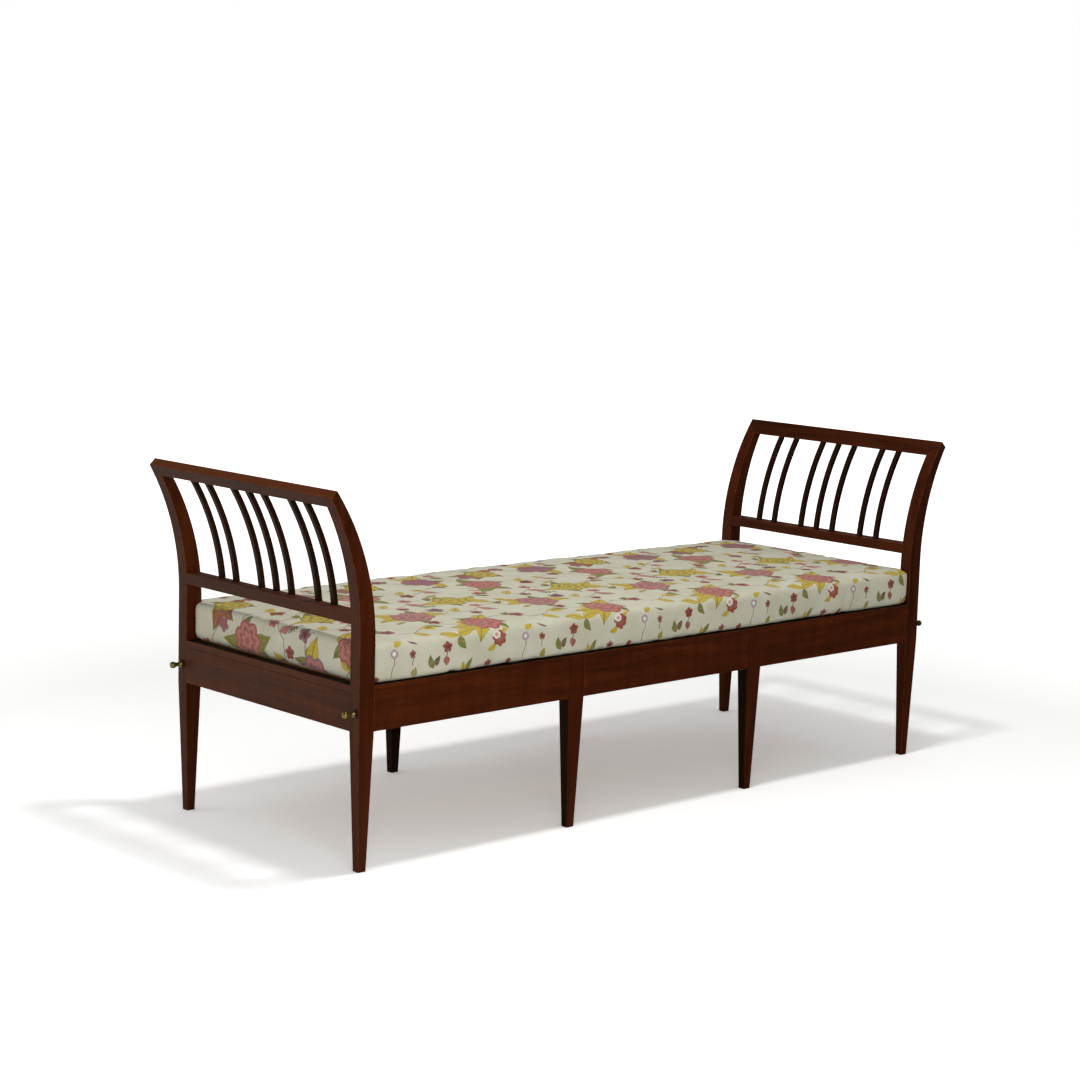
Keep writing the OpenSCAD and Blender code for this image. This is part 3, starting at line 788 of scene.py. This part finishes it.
# %% One slotted screw
SCREW_HEAD_R, SCREW_SHANK_R, SCREW_HEAD_L = 3.75 * MM, 2 * MM, 3 * MM
SLOT_HALF, SLOT_DEPTH = 0.45 * MM, 0.9 * MM
TIP_R, TIP_L = 0.3 * MM, 7 * MM
RIM_STEPS = 10


def ring(form, radius, y, angles):
    return [form.verts.new((radius * math.sin(a), y, radius * math.cos(a))) for a in angles]


def wall(form, upper, lower):
    """Faces all round between two rings."""
    for a in range(len(upper)):
        b = (a + 1) % len(upper)
        form.faces.new((upper[a], lower[a], lower[b], upper[b]))


def slotted_screw(length):
    """A countersunk screw along -Y, with the face of its head at the origin and its slot upright."""
    form = bmesh.new()
    slot_angle = math.asin(SLOT_HALF / SCREW_HEAD_R)
    for half in (0, math.pi):
        angles = np.linspace(slot_angle, math.pi - slot_angle, RIM_STEPS) + half
        top, foot = [ring(form, SCREW_HEAD_R, y, angles) for y in (0, -SLOT_DEPTH)]
        form.faces.new(top)
        form.faces.new(foot)
        wall(form, top, foot)
    angles = np.linspace(0, 2 * math.pi, 2 * RIM_STEPS, endpoint=False)
    places = [(SCREW_HEAD_R, -SLOT_DEPTH), (SCREW_SHANK_R, -SCREW_HEAD_L), (SCREW_SHANK_R, TIP_L - length),
              (TIP_R, -length)]
    rings = [ring(form, radius, y, angles) for radius, y in places]
    for upper, lower in zip(rings, rings[1:]):
        wall(form, upper, lower)
    form.faces.new(rings[0])
    form.faces.new(rings[-1])
    bmesh.ops.recalc_face_normals(form, faces=form.faces)
    return new_object("screw", to_mesh(form, "screw"))


# %% The tree that sets screws in rows
row_tree, g, given = new_maker("screw rows", [
    ("Screw", "NodeSocketObject", None), ("First", VECTOR, (0, 0, 0)), ("Count", INT, 7),
    ("Step", FLOAT, 0.1), ("Count in a group", INT, 1), ("Step in a group", FLOAT, 0.0),
])
shape = g.add("GeometryNodeObjectInfo", {"Object": given["Screw"]}).outputs["Geometry"]
groups = points_in_line(g, given["Count"], given["Step"], given["First"])
group = points_in_line(g, given["Count in a group"], given["Step in a group"])
front_row = copies_at(g, realised(g, copies_at(g, groups, group)), shape)
back_row = g.made("GeometryNodeTransform", {"Geometry": front_row, "Rotation": (0, 0, math.pi)})
rows = g.add("GeometryNodeJoinGeometry")
for row in (front_row, back_row):
    row_tree.links.new(row, rows.inputs[0])
real = realised(g, rows.outputs[0])
g.give("Geometry", g.made("GeometryNodeSetMaterial", {"Geometry": real, "Material": given["Finish"]}))

# %% Screws of the ledgers and of the middle legs
# Each row: a screw's length, the groups in it, the screws in a group and their step
SCREW_ROWS = {"ledger_screws": (32 * MM, 7, 1, 0.0), "leg_screws": (22 * MM, 2, 2, 34 * MM)}
for node, (length, count, in_group, group_step) in SCREW_ROWS.items():
    low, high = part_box(node)
    screw = slotted_screw(length)
    first = (low.x + SCREW_HEAD_R, low.y + length, (low.z + high.z) / 2)
    step = (high.x - low.x - 2 * SCREW_HEAD_R - (in_group - 1) * group_step) / (count - 1)
    screws = grow(node + "_slotted", row_tree, dark_iron, Screw=screw, First=first, Count=count, Step=step,
                  Count_in_a_group=in_group, Step_in_a_group=group_step)
    bpy.data.objects.remove(screw)
    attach(screws, "frame")
    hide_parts(node)
    measure(screws)

# %% [markdown]
# ## The mattress
#
# The mattress is a firm pad in a loose linen cover. It starts as a plain box on a grid of ten-millimetre
# cells, notched round the corner posts, because between the posts the soft ends reach out over the end rails.
# The print's coordinates are laid on this flat net while it is still easy: they run over the front edge
# without a break, as the cloth does. Then the sharp edges are smoothed, Blender's Cloth inflates the cover a
# little so that it crowns and creases, and the movement is capped so that it keeps its size.

# %% The net of the mattress
MATTRESS_LOW, MATTRESS_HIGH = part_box("mattress")
MATTRESS_HALF_L, MATTRESS_HALF_W = MATTRESS_HIGH.x - 0.3 * MM, MATTRESS_HIGH.y - 0.5 * MM
TONGUE_HALF_L, TONGUE_HALF_W = 879 * MM, 292.5 * MM
EDGE_HEIGHT = 84 * MM
CROWN = 5 * MM
CELL = 10 * MM


def steps_between(start, end):
    """Places from start to end, about one cell apart."""
    return list(np.linspace(start, end, max(2, round(abs(end - start) / CELL) + 1)))


def net_lines(inner, outer):
    return [*steps_between(-outer, -inner)[:-1], *steps_between(-inner, inner),
            *steps_between(inner, outer)[1:]]


def mattress_net():
    """The box as quads, with a UV map named print in metres. V runs over the front edge and down from it."""
    xs = net_lines(MATTRESS_HALF_L, TONGUE_HALF_L)
    ys = net_lines(TONGUE_HALF_W, MATTRESS_HALF_W)
    zs = steps_between(MATTRESS_LOW.z, MATTRESS_LOW.z + EDGE_HEIGHT)
    top = len(zs) - 1

    def inside(i, j):
        if not (0 <= i < len(xs) - 1 and 0 <= j < len(ys) - 1):
            return False
        x, y = abs(xs[i] + xs[i + 1]) / 2, abs(ys[j] + ys[j + 1]) / 2
        return x < MATTRESS_HALF_L or y < TONGUE_HALF_W

    form = bmesh.new()
    layer = form.loops.layers.uv.new("print")
    corners = {}

    def corner(i, j, k):
        if (i, j, k) not in corners:
            corners[i, j, k] = form.verts.new((xs[i], ys[j], zs[k]))
        return corners[i, j, k]

    def quad(keys, side):
        face = form.faces.new([corner(*key) for key in keys])
        for loop in face.loops:
            x, y, z = loop.vert.co
            drop = zs[top] - z
            loop[layer].uv = (x + side[0] * drop, y + side[1] * drop)

    for i in range(len(xs) - 1):
        for j in range(len(ys) - 1):
            if not inside(i, j):
                continue
            around = [(i, j), (i + 1, j), (i + 1, j + 1), (i, j + 1)]
            quad([(*a, top) for a in around], (0, 0))
            quad([(*a, 0) for a in reversed(around)], (0, -1))
            neighbours = [(0, -1), (1, 0), (0, 1), (-1, 0)]
            for n, (di, dj) in enumerate(neighbours):
                if inside(i + di, j + dj):
                    continue
                a, b = around[n], around[(n + 1) % 4]
                for k in range(top):
                    quad([(*a, k), (*b, k), (*b, k + 1), (*a, k + 1)], (di, dj))
    return form


form = mattress_net()
print("mattress net:", len(form.verts), "points")

# %% Smooth edges and the first crown
SMOOTH_TURNS, SMOOTH_SHARE = 5, 0.5
# The crown falls off late towards the ends and sooner towards the long sides
CROWN_FALL = (8, 4)
# Near its foot the side draws in by these shares of the length and of the width
UNDERCUT_HEIGHT, UNDERCUT = 22 * MM, (0.006, 0.014)

for _ in range(SMOOTH_TURNS):
    bmesh.ops.smooth_vert(form, verts=form.verts, factor=SMOOTH_SHARE,
                          use_axis_x=True, use_axis_y=True, use_axis_z=True)
half_height = EDGE_HEIGHT / 2
for vert in form.verts:
    under = max(0.0, 1 - (vert.co.z - MATTRESS_LOW.z) / UNDERCUT_HEIGHT) ** 2
    vert.co.x *= 1 - UNDERCUT[0] * under
    vert.co.y *= 1 - UNDERCUT[1] * under
    share_x, share_y = abs(vert.co.x) / TONGUE_HALF_L, abs(vert.co.y) / MATTRESS_HALF_W
    up = max(0.0, (vert.co.z - MATTRESS_LOW.z - half_height) / half_height)
    vert.co.z += CROWN * up * (1 - share_x ** CROWN_FALL[0]) * (1 - share_y ** CROWN_FALL[1])
cover_mesh = to_mesh(form, "printed_mattress")
cover_mesh.shade_smooth()
linen, w = new_material("printed linen")
cover = new_piece("printed_mattress", cover_mesh, linen)
measure(cover)

# %% Inflate the cover as cloth
PRESSURE, LAST_FRAME, LOOSE_SHARE = 4.0, 20, -0.02
CORE_HOLD, CORE_STIFFNESS, BENDING = 0.25, 0.5, 0.4
MOST_MOVE = 5 * MM
REST_Z = MATTRESS_LOW.z
# How far the cover may reach: over the long rails, between the posts and beside them
FREE_HALF_W, FREE_HALF_L, NOTCH_HALF_L = 323.5 * MM, 883 * MM, 859.6 * MM


def inflate(piece):
    """Runs the cloth for a few frames and gives the places of its points."""
    scene = bpy.context.scene
    cloth = piece.modifiers.new("cloth", "CLOTH")
    cloth.settings.use_pressure = True
    cloth.settings.uniform_pressure_force = PRESSURE
    cloth.settings.shrink_min = LOOSE_SHARE
    core = piece.vertex_groups.new(name="core")
    core.add(range(len(piece.data.vertices)), CORE_HOLD, "REPLACE")
    cloth.settings.vertex_group_mass = core.name
    cloth.settings.pin_stiffness = CORE_STIFFNESS
    cloth.settings.bending_stiffness = BENDING
    cloth.settings.effector_weights.gravity = 0
    cloth.collision_settings.use_collision = False
    cloth.point_cache.frame_end = LAST_FRAME
    for number in range(1, LAST_FRAME + 1):
        scene.frame_set(number)
    puffed = rows_of(evaluated(piece).data.vertices, "co")
    piece.modifiers.remove(cloth)
    scene.frame_set(1)
    return puffed


flat = rows_of(cover.data.vertices, "co")
settled = flat
move = inflate(cover) - flat
length = np.linalg.norm(move, axis=1, keepdims=True)
print("free moves in mm:", (np.percentile(length, [5, 50, 95, 100]) / MM).round(2))
settled = flat + move * np.minimum(1, MOST_MOVE / np.maximum(length, 1e-9))

# %% Soft dents, and the room between the posts
DENT_DEPTH = 2.2 * MM
# Each layer of dents: how many in a metre along X, Y and Z, and its share of the depth
DENT_SCALES = ((5, 6, 10, 1.0), (11, 13, 34, 0.6), (26, 26, 40, 0.25))
outward = rows_of(cover.data.vertices, "normal")
dents = np.array([sum(share * noise.noise((x * a, y * b, z * c)) for a, b, c, share in DENT_SCALES)
                  for x, y, z in flat])
settled = settled + outward * dents[:, None] * DENT_DEPTH
settled[:, 2] = np.maximum(settled[:, 2], REST_Z)
settled[:, 1] = np.clip(settled[:, 1], -FREE_HALF_W, FREE_HALF_W)
by_post = np.abs(flat[:, 1]) > TONGUE_HALF_W - MM
reach = np.where(by_post, NOTCH_HALF_L, FREE_HALF_L)
settled[:, 0] = np.clip(settled[:, 0], -reach, reach)
cover.data.vertices.foreach_set("co", settled.ravel())
cover.data.update()
print("dents in mm:", (np.array([dents.min(), dents.max()]) * DENT_DEPTH / MM).round(1))
measure(cover)

# %% Finish the form
finer = cover.modifiers.new("finer", "SUBSURF")
finer.levels = finer.render_levels = 1
fine_mesh = bpy.data.meshes.new_from_object(evaluated(cover))
cover.modifiers.remove(finer)
cover.data = fine_mesh
cover.data.name = "printed_mattress"
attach(cover, "mattress")
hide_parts("mattress")
measure(cover)

# %% [markdown]
# ## Linen
#
# Linen is a plain weave of uneven threads. Each thread crosses over one and under the next, which a
# chequered choice between two rows of round ribs gives, and the thick slubs are noise that is stretched along
# either thread. The print's UV map is in metres, so thread counts are real sizes.

# %% The weave group
weave_tree, g, given = new_group("linen weave", [("Place", VECTOR, None), ("Thread", FLOAT, 0.7 * MM)],
                                 [("Height", FLOAT), ("Slubs", FLOAT)])
threads = g.vector("DIVIDE", given["Place"], given["Thread"])
along, across = g.apart(threads)["X"], g.apart(threads)["Y"]
crossing = g.math("MODULO", g.plus(g.math("FLOOR", along), g.math("FLOOR", across)), 2)
over = g.size(crossing)
ribs = []
for place, share in ((along, over), (across, g.minus(1, over))):
    round_rib = g.math("SINE", g.times(g.math("FRACT", place), math.pi))
    ribs.append(g.times(round_rib, g.ramp(share, 0, 1, 0.5, 1.0)))
g.give("Height", g.larger(*ribs))
slubs = [g.mask(g.vector("MULTIPLY", given["Place"], stretch), 1, 2, 0.6, 0.55, 0.75)
         for stretch in ((14, 620, 1), (620, 14, 1))]
g.give("Slubs", g.larger(*slubs))
print("linen weave nodes:", len(weave_tree.nodes))

# %% [markdown]
# ## The print
#
# A printed cloth repeats one tile. Here the tile is a list of motifs, each a node group that draws one shape
# over the colour under it: a leaf, a fern, a blossom, a stem or an endless vine. A motif measures the place
# on the cloth from its own middle, wraps that distance round the tile so that nothing is cut at the repeat,
# turns and scales it, and says how far inside the shape the place is. The place goes on from motif to motif,
# and its Z counts the ink laid so far, which also keeps the renderer working on one motif at a time. The
# flowers are a plain country garden in mustard, olive, brick, rose and mauve, drawn for this lesson.

# %% Motif groups
TILE = (362 * MM, 724 * MM)
INK_EDGE = 0.9 * MM


def new_motif(name, sizes, draw):
    """A motif group. draw gets its writer, its inputs and the place in units of its size."""
    tree, g, given = new_group(
        name,
        [("Under", COLOR, (1, 1, 1, 1)), ("Place", VECTOR, None), ("Middle", VECTOR, (0, 0, 0)),
         ("Turn", FLOAT, 0.0), ("Size", FLOAT, 20 * MM), ("Ink", COLOR, (0, 0, 0, 1)),
         ("Second ink", COLOR, (0, 0, 0, 1)), *[(label, FLOAT, value) for label, value in sizes]],
        [("Color", COLOR), ("Place", VECTOR)],
    )
    half_tile = (TILE[0] / 2, TILE[1] / 2, 1)
    on_cloth = g.vector("MULTIPLY", given["Place"], (1, 1, 0))
    from_middle = g.vector("SUBTRACT", on_cloth, given["Middle"])
    wrapped = g.vector("WRAP", from_middle, half_tile, tuple(-half for half in half_tile))
    back_turn = g.times(given["Turn"], -1.0)
    turned = g.made("ShaderNodeVectorRotate", {"Vector": wrapped, "Angle": back_turn}, rotation_type="Z_AXIS")
    local = g.vector("DIVIDE", turned, given["Size"])
    inside, tone = draw(g, given, local)
    sharp = g.over(given["Size"], INK_EDGE)
    printed = g.math("ADD", g.times(inside, sharp), 0.5, clamp=True)
    ink = g.mix(tone, given["Ink"], given["Second ink"])
    g.give("Color", g.mix(printed, given["Under"], ink))
    g.give("Place", g.vector("ADD", given["Place"], g.together(0.0, 0.0, printed)))
    return tree


def from_0_to_1(g, x):
    """How far along a motif the place is, held between its ends, and how far beyond them."""
    t = g.held(x)
    return t, g.size(g.minus(x, t))


def draw_leaf(g, given, local):
    """A leaf from its stalk at 0 to its tip at 1, with its veins and rim in the second ink."""
    x, y = g.apart(local)[:2]
    t, beyond = from_0_to_1(g, x)
    arch = g.times(g.times(t, g.minus(1, t)), 4)
    off = g.size(g.minus(y, g.times(arch, given["Bend"])))
    half = g.times(g.math("SINE", g.times(g.math("POWER", t, 0.75), math.pi)), given["Width"])
    inside = g.minus(g.minus(half, off), beyond)
    midrib = g.ramp(off, 0.01, 0.03, 1, 0)
    lean = g.times(g.minus(x, off), 9)
    side_veins = g.ramp(g.math("PINGPONG", lean, 0.5), 0.0, 0.16, 0.7, 0.0)
    rim = g.ramp(inside, 0.0, 0.05, 0.6, 0.0)
    return inside, g.larger(g.larger(midrib, side_veins), rim)


def polar(g, local):
    x, y = g.apart(local)[:2]
    return g.vector("LENGTH", local), g.math("ARCTAN2", y, x)


def draw_fern(g, given, local):
    """A frond from 0 to 1, with pairs of leaflets that lean forward and are longest below the middle."""
    x, y = g.apart(local)[:2]
    off = g.size(y)
    root = g.times(g.minus(x, g.times(off, 0.7)), given["Pairs"])
    share = g.math("DIVIDE", g.plus(g.math("FLOOR", root), 0.5), given["Pairs"], clamp=True)
    arch = g.math("SINE", g.times(g.math("POWER", share, 0.7), math.pi))
    long = g.plus(g.times(arch, given["Width"]), 0.001)
    spread = g.over(off, long)
    plump = g.times(g.minus(1, g.times(spread, spread)), 0.44)
    from_rib = g.size(g.minus(g.math("FRACT", root), 0.5))
    leaflet = g.over(g.minus(plump, from_rib), given["Pairs"])
    leaflet = g.smaller(leaflet, g.minus(long, off))
    rib = g.minus(g.minus(0.012, off), from_0_to_1(g, x)[1])
    return g.larger(leaflet, rib), g.ramp(spread, 0.1, 0.7, 1, 0)


def draw_blossom(g, given, local):
    """A flower with round petals. Depth is how far they part, and rings of the second ink part its layers."""
    r, a = polar(g, local)
    lobes = g.size(g.math("COSINE", g.times(g.times(a, given["Petals"]), 0.5)))
    rim = g.minus(1, g.times(given["Depth"], g.minus(1, lobes)))
    t = g.over(r, rim)
    ring = g.times(g.plus(t, g.times(lobes, -0.12)), given["Layers"])
    return g.minus(rim, r), g.ramp(g.math("COSINE", g.times(ring, 2 * math.pi)), -0.4, 0.8)


def draw_stem(g, given, local):
    """A thin stem from 0 to 1 that swings once to each side."""
    x, y = g.apart(local)[:2]
    t, beyond = from_0_to_1(g, x)
    swing = g.times(g.math("SINE", g.times(t, 2 * math.pi)), given["Bend"])
    off = g.size(g.minus(y, swing))
    return g.minus(g.minus(given["Width"], off), beyond), t


def draw_vine(g, given, local):
    """An endless wavy stem along the tile. One wave is one unit long."""
    x, y = g.apart(local)[:2]
    swing = g.times(g.math("SINE", g.times(x, 2 * math.pi)), given["Bend"])
    return g.minus(given["Width"], g.size(g.minus(y, swing))), 0.0


LEAF = new_motif("printed leaf", [("Width", 0.2), ("Bend", 0.1)], draw_leaf)
FERN = new_motif("printed fern", [("Pairs", 5.0), ("Width", 0.3)], draw_fern)
BLOSSOM = new_motif("printed blossom", [("Petals", 5.0), ("Depth", 0.3), ("Layers", 0.5)], draw_blossom)
STEM = new_motif("printed stem", [("Bend", 0.1), ("Width", 0.03)], draw_stem)
VINE = new_motif("printed vine", [("Bend", 0.1), ("Width", 0.01)], draw_vine)
print("motifs:", [t.name for t in (LEAF, FERN, BLOSSOM, STEM, VINE)])

# %% [markdown]
# The tile is read from the front of the bench: V is 0 along the middle of the top, -322 mm at the front edge
# and -408 mm at the bottom of the front. Five wavy vines with large layered flowers run along the top, and a
# loose row of small flowers runs along the edge.

# %% The tile
MUSTARD, OLIVE, DARK_OLIVE = seen(204, 172, 34), seen(128, 122, 34), seen(84, 88, 34)
BRICK, DARK_RED, BROWN = seen(152, 54, 36), seen(100, 28, 28), seen(108, 72, 46)
ROSE, DEEP_ROSE, PINK = seen(186, 112, 100), seen(154, 76, 74), seen(206, 148, 134)
MAUVE, PALE_MAUVE, CREAM = seen(134, 92, 104), seen(172, 148, 160), seen(232, 230, 214)


def leaf(u, v, turn, size, ink=OLIVE, vein=DARK_OLIVE, width=0.2, bend=0.1):
    return LEAF, u, v, turn, size, ink, vein, {"Width": width, "Bend": bend}


def fern(u, v, turn, size, ink=MUSTARD, heart=OLIVE, pairs=5, width=0.3):
    return FERN, u, v, turn, size, ink, heart, {"Pairs": pairs, "Width": width}


def blossom(u, v, size, ink=BRICK, heart=DARK_RED, petals=5, depth=0.3, turn=20, layers=0.5):
    return BLOSSOM, u, v, turn, size, ink, heart, {"Petals": petals, "Depth": depth, "Layers": layers}


def stem(u, v, turn, size, ink=MAUVE, bend=0.1, width=1.0):
    return STEM, u, v, turn, size, ink, ink, {"Bend": bend, "Width": width / size}


def spray(u, v, turn, size, ink, heart, leaf_ink):
    """A layered flower on five leaves that open round it."""
    leaves = [(160, 2.1, 0.1, leaf_ink, OLIVE), (215, 1.9, -0.1, leaf_ink, OLIVE),
              (285, 1.4, 0.12, OLIVE, DARK_OLIVE), (22, 1.9, 0.1, leaf_ink, OLIVE),
              (95, 1.5, -0.12, OLIVE, DARK_OLIVE)]
    drawn = [leaf(u, v, turn + lean, size * reach, shade, vein, 0.23, bow)
             for lean, reach, bow, shade, vein in leaves]
    return [*drawn, blossom(u, v, size, ink, heart, 7, 0.16, turn, 2.3)]


VINE_STEP = TILE[0] / 2 / MM
VINE_SWING = 0.12
VINE_HALF_WIDTH = 1.3
VINE_LEAVES = 5
VINE_LEAF_KINDS = ((36, OLIVE, DARK_OLIVE), (42, MUSTARD, OLIVE), (48, ROSE, MAUVE))


def vine_height(v, start, u):
    return v + VINE_SWING * VINE_STEP * math.sin(2 * math.pi * (u - start) / VINE_STEP)


def vine(v, start, sprays, buds):
    """A vine that runs the length of the bench, with leaves to both sides, sprays and small blossoms."""
    drawn = [(VINE, start, v, 0, VINE_STEP, MAUVE, MAUVE,
              {"Bend": VINE_SWING, "Width": VINE_HALF_WIDTH / VINE_STEP})]
    for number in range(VINE_LEAVES):
        u = start + (number + 0.5) * 2 * VINE_STEP / VINE_LEAVES
        side = 1 if number % 2 else -1
        size, ink, vein = VINE_LEAF_KINDS[number % 3]
        drawn.append(leaf(u, vine_height(v, start, u), side * 48, size, ink, vein, 0.28, side * 0.1))
    for u, turn, size, ink, heart, leaf_ink in sprays:
        drawn += spray(u, vine_height(v, start, u), turn, size, ink, heart, leaf_ink)
    for u, rise, size, ink, heart in buds:
        drawn.append(blossom(u, vine_height(v, start, u) + rise, size, ink, heart, 5, 0.3, u))
    return drawn


motifs = [
    # Along the front edge
    stem(276, -398, 84, 46, bend=0.06), blossom(281, -346, 11, PALE_MAUVE, MAUVE, 8, 0.25),
    blossom(281, -346, 5, CREAM, CREAM, 5, 0.0), leaf(283, -330, 30, 26, MUSTARD, OLIVE, 0.34),
    leaf(96, -322, 12, 54, MUSTARD, OLIVE, 0.24, 0.12), leaf(96, -322, 168, 52, MUSTARD, OLIVE, 0.24, -0.12),
    leaf(98, -324, -62, 36, OLIVE, DARK_OLIVE, 0.26, -0.15),
    stem(56, -380, 80, 28, BROWN, 0.05, 1.2), blossom(61, -346, 13, BRICK, DARK_RED, 5, 0.3),
    leaf(56, -366, -82, 21, DEEP_ROSE, BRICK, 0.4), leaf(24, -388, 108, 32, OLIVE, DARK_OLIVE, 0.26),
    leaf(30, -384, 64, 24, BROWN, DARK_OLIVE, 0.3),
    blossom(206, -342, 20, BRICK, DEEP_ROSE, 7, 0.2), blossom(199, -334, 11, CREAM, PINK, 6, 0.15),
    leaf(216, -328, 24, 20, MUSTARD, OLIVE, 0.3), leaf(196, -356, 200, 26, MUSTARD, OLIVE, 0.26),
    blossom(176, -396, 11, DEEP_ROSE, DARK_RED, 5, 0.35), blossom(236, -399, 9, BRICK, DARK_RED, 5, 0.3),
    leaf(118, -408, 66, 34, OLIVE, DARK_OLIVE, 0.22), leaf(116, -408, 112, 28, MUSTARD, OLIVE, 0.24),
    leaf(334, -404, 80, 26, OLIVE, MUSTARD, 0.3), blossom(330, -352, 9, DEEP_ROSE, DARK_RED, 5, 0.3),
    stem(330, -374, 88, 18, BROWN, 0.08), leaf(344, -330, 150, 30, BROWN, MAUVE, 0.1, 0.1),
    # Five vines along the top, from the near edge to the far one
    *vine(-256, 40, [(196, 25, 46, ROSE, DEEP_ROSE, MUSTARD)],
          [(64, -14, 18, MUSTARD, OLIVE), (110, 22, 17, BRICK, DARK_RED),
           (320, 16, 19, DEEP_ROSE, DARK_RED)]),
    *vine(-140, 120, [(110, -30, 50, ROSE, MAUVE, MUSTARD)],
          [(200, 18, 21, MAUVE, DARK_RED), (262, -20, 15, BRICK, DARK_RED), (318, 14, 17, ROSE, BRICK)]),
    *vine(-26, 10, [(306, 160, 47, MUSTARD, OLIVE, MUSTARD)],
          [(74, 16, 19, DEEP_ROSE, BRICK), (150, -18, 16, BRICK, DARK_RED), (212, 16, 17, ROSE, MAUVE)]),
    *vine(88, 150, [(152, 70, 47, ROSE, DEEP_ROSE, OLIVE)],
          [(40, 14, 17, MAUVE, DARK_RED), (262, -16, 19, BRICK, DARK_RED), (330, 14, 15, MUSTARD, OLIVE)]),
    *vine(204, 70, [(46, -100, 46, MAUVE, DEEP_ROSE, MUSTARD), (246, 10, 44, MUSTARD, OLIVE, BRICK)],
          [(120, 20, 17, ROSE, BRICK), (176, -16, 18, MAUVE, DEEP_ROSE), (320, 18, 17, DEEP_ROSE, DARK_RED)]),
    # Loose sprigs between the vines
    leaf(30, 282, 20, 46, MUSTARD, OLIVE, 0.26), leaf(30, 282, 150, 38, OLIVE, DARK_OLIVE, 0.26),
    blossom(30, 280, 13, BRICK, DARK_RED), fern(140, 288, 10, 50, OLIVE, DARK_OLIVE),
    blossom(290, 292, 12, DEEP_ROSE, DARK_RED), leaf(296, 294, 40, 34, MUSTARD, OLIVE, 0.28),
    fern(232, -84, 150, 46, OLIVE, DARK_OLIVE), fern(30, -194, 30, 44, MUSTARD, OLIVE),
    fern(330, 38, 200, 46, MUSTARD, OLIVE), leaf(100, 30, 130, 34, PINK, ROSE, 0.28),
]
print("motifs in a tile:", len(motifs))

# %% The printed linen
GROUND, GROUND_SHADE = seen(212, 210, 189), seen(198, 195, 168)
# The second colour is painted shade for the gaps between the threads
SLUB, THREAD_GAP_SHADE = seen(236, 232, 210), seen(120, 112, 88)
# The outlines stray by up to half of this, as hand-cut blocks do
HAND_STRAY = (5 * MM, 5 * MM, 0)

flat_place = w.made("ShaderNodeUVMap", uv_map="print")
stray = w.add("ShaderNodeTexNoise", {"Vector": flat_place, "Scale": 70.0, "Detail": 2.0}).outputs["Color"]
stray = w.vector("MULTIPLY", w.vector("SUBTRACT", stray, (0.5, 0.5, 0.5)), HAND_STRAY)
hand_place = w.vector("ADD", flat_place, stray)
weave = w.group(weave_tree, Place=flat_place)
colour = w.mix(w.mask(flat_place, 9, 4, 0.6, 0.35, 0.7), GROUND, GROUND_SHADE)
for tree, u, v, turn, size, ink, second, own in motifs:
    printed = w.group(tree, Under=colour, Place=hand_place, Middle=(u * MM, v * MM, 0), Ink=ink,
                      Second_ink=second, Turn=math.radians(turn), Size=size * MM, **own)
    colour, hand_place = printed["Color"], printed["Place"]
thin_ink = w.mask(flat_place, 160, 3, 0.7, 0.5, 0.8, 0.0, 0.3)
washed_ink = w.mask(flat_place, 34, 3, 0.6, 0.45, 0.75, 0.0, 0.12)
colour = w.mix(w.larger(thin_ink, washed_ink), colour, GROUND)
colour = w.mix(w.times(weave["Slubs"], 0.16), colour, SLUB)
# Painted shade: the low places of the weave, between the threads, are darkened
colour = w.mix(w.ramp(weave["Height"], 0.2, 0.9, 0.14, 0.0), colour, THREAD_GAP_SHADE)
height = w.plus(weave["Height"], w.times(weave["Slubs"], 1.5))
principled(w, colour, 0.85, height, (0.5, 0.15), {"Specular IOR Level": 0.2, "Sheen Weight": 0.1})
print("printed linen nodes:", len(linen.node_tree.nodes))
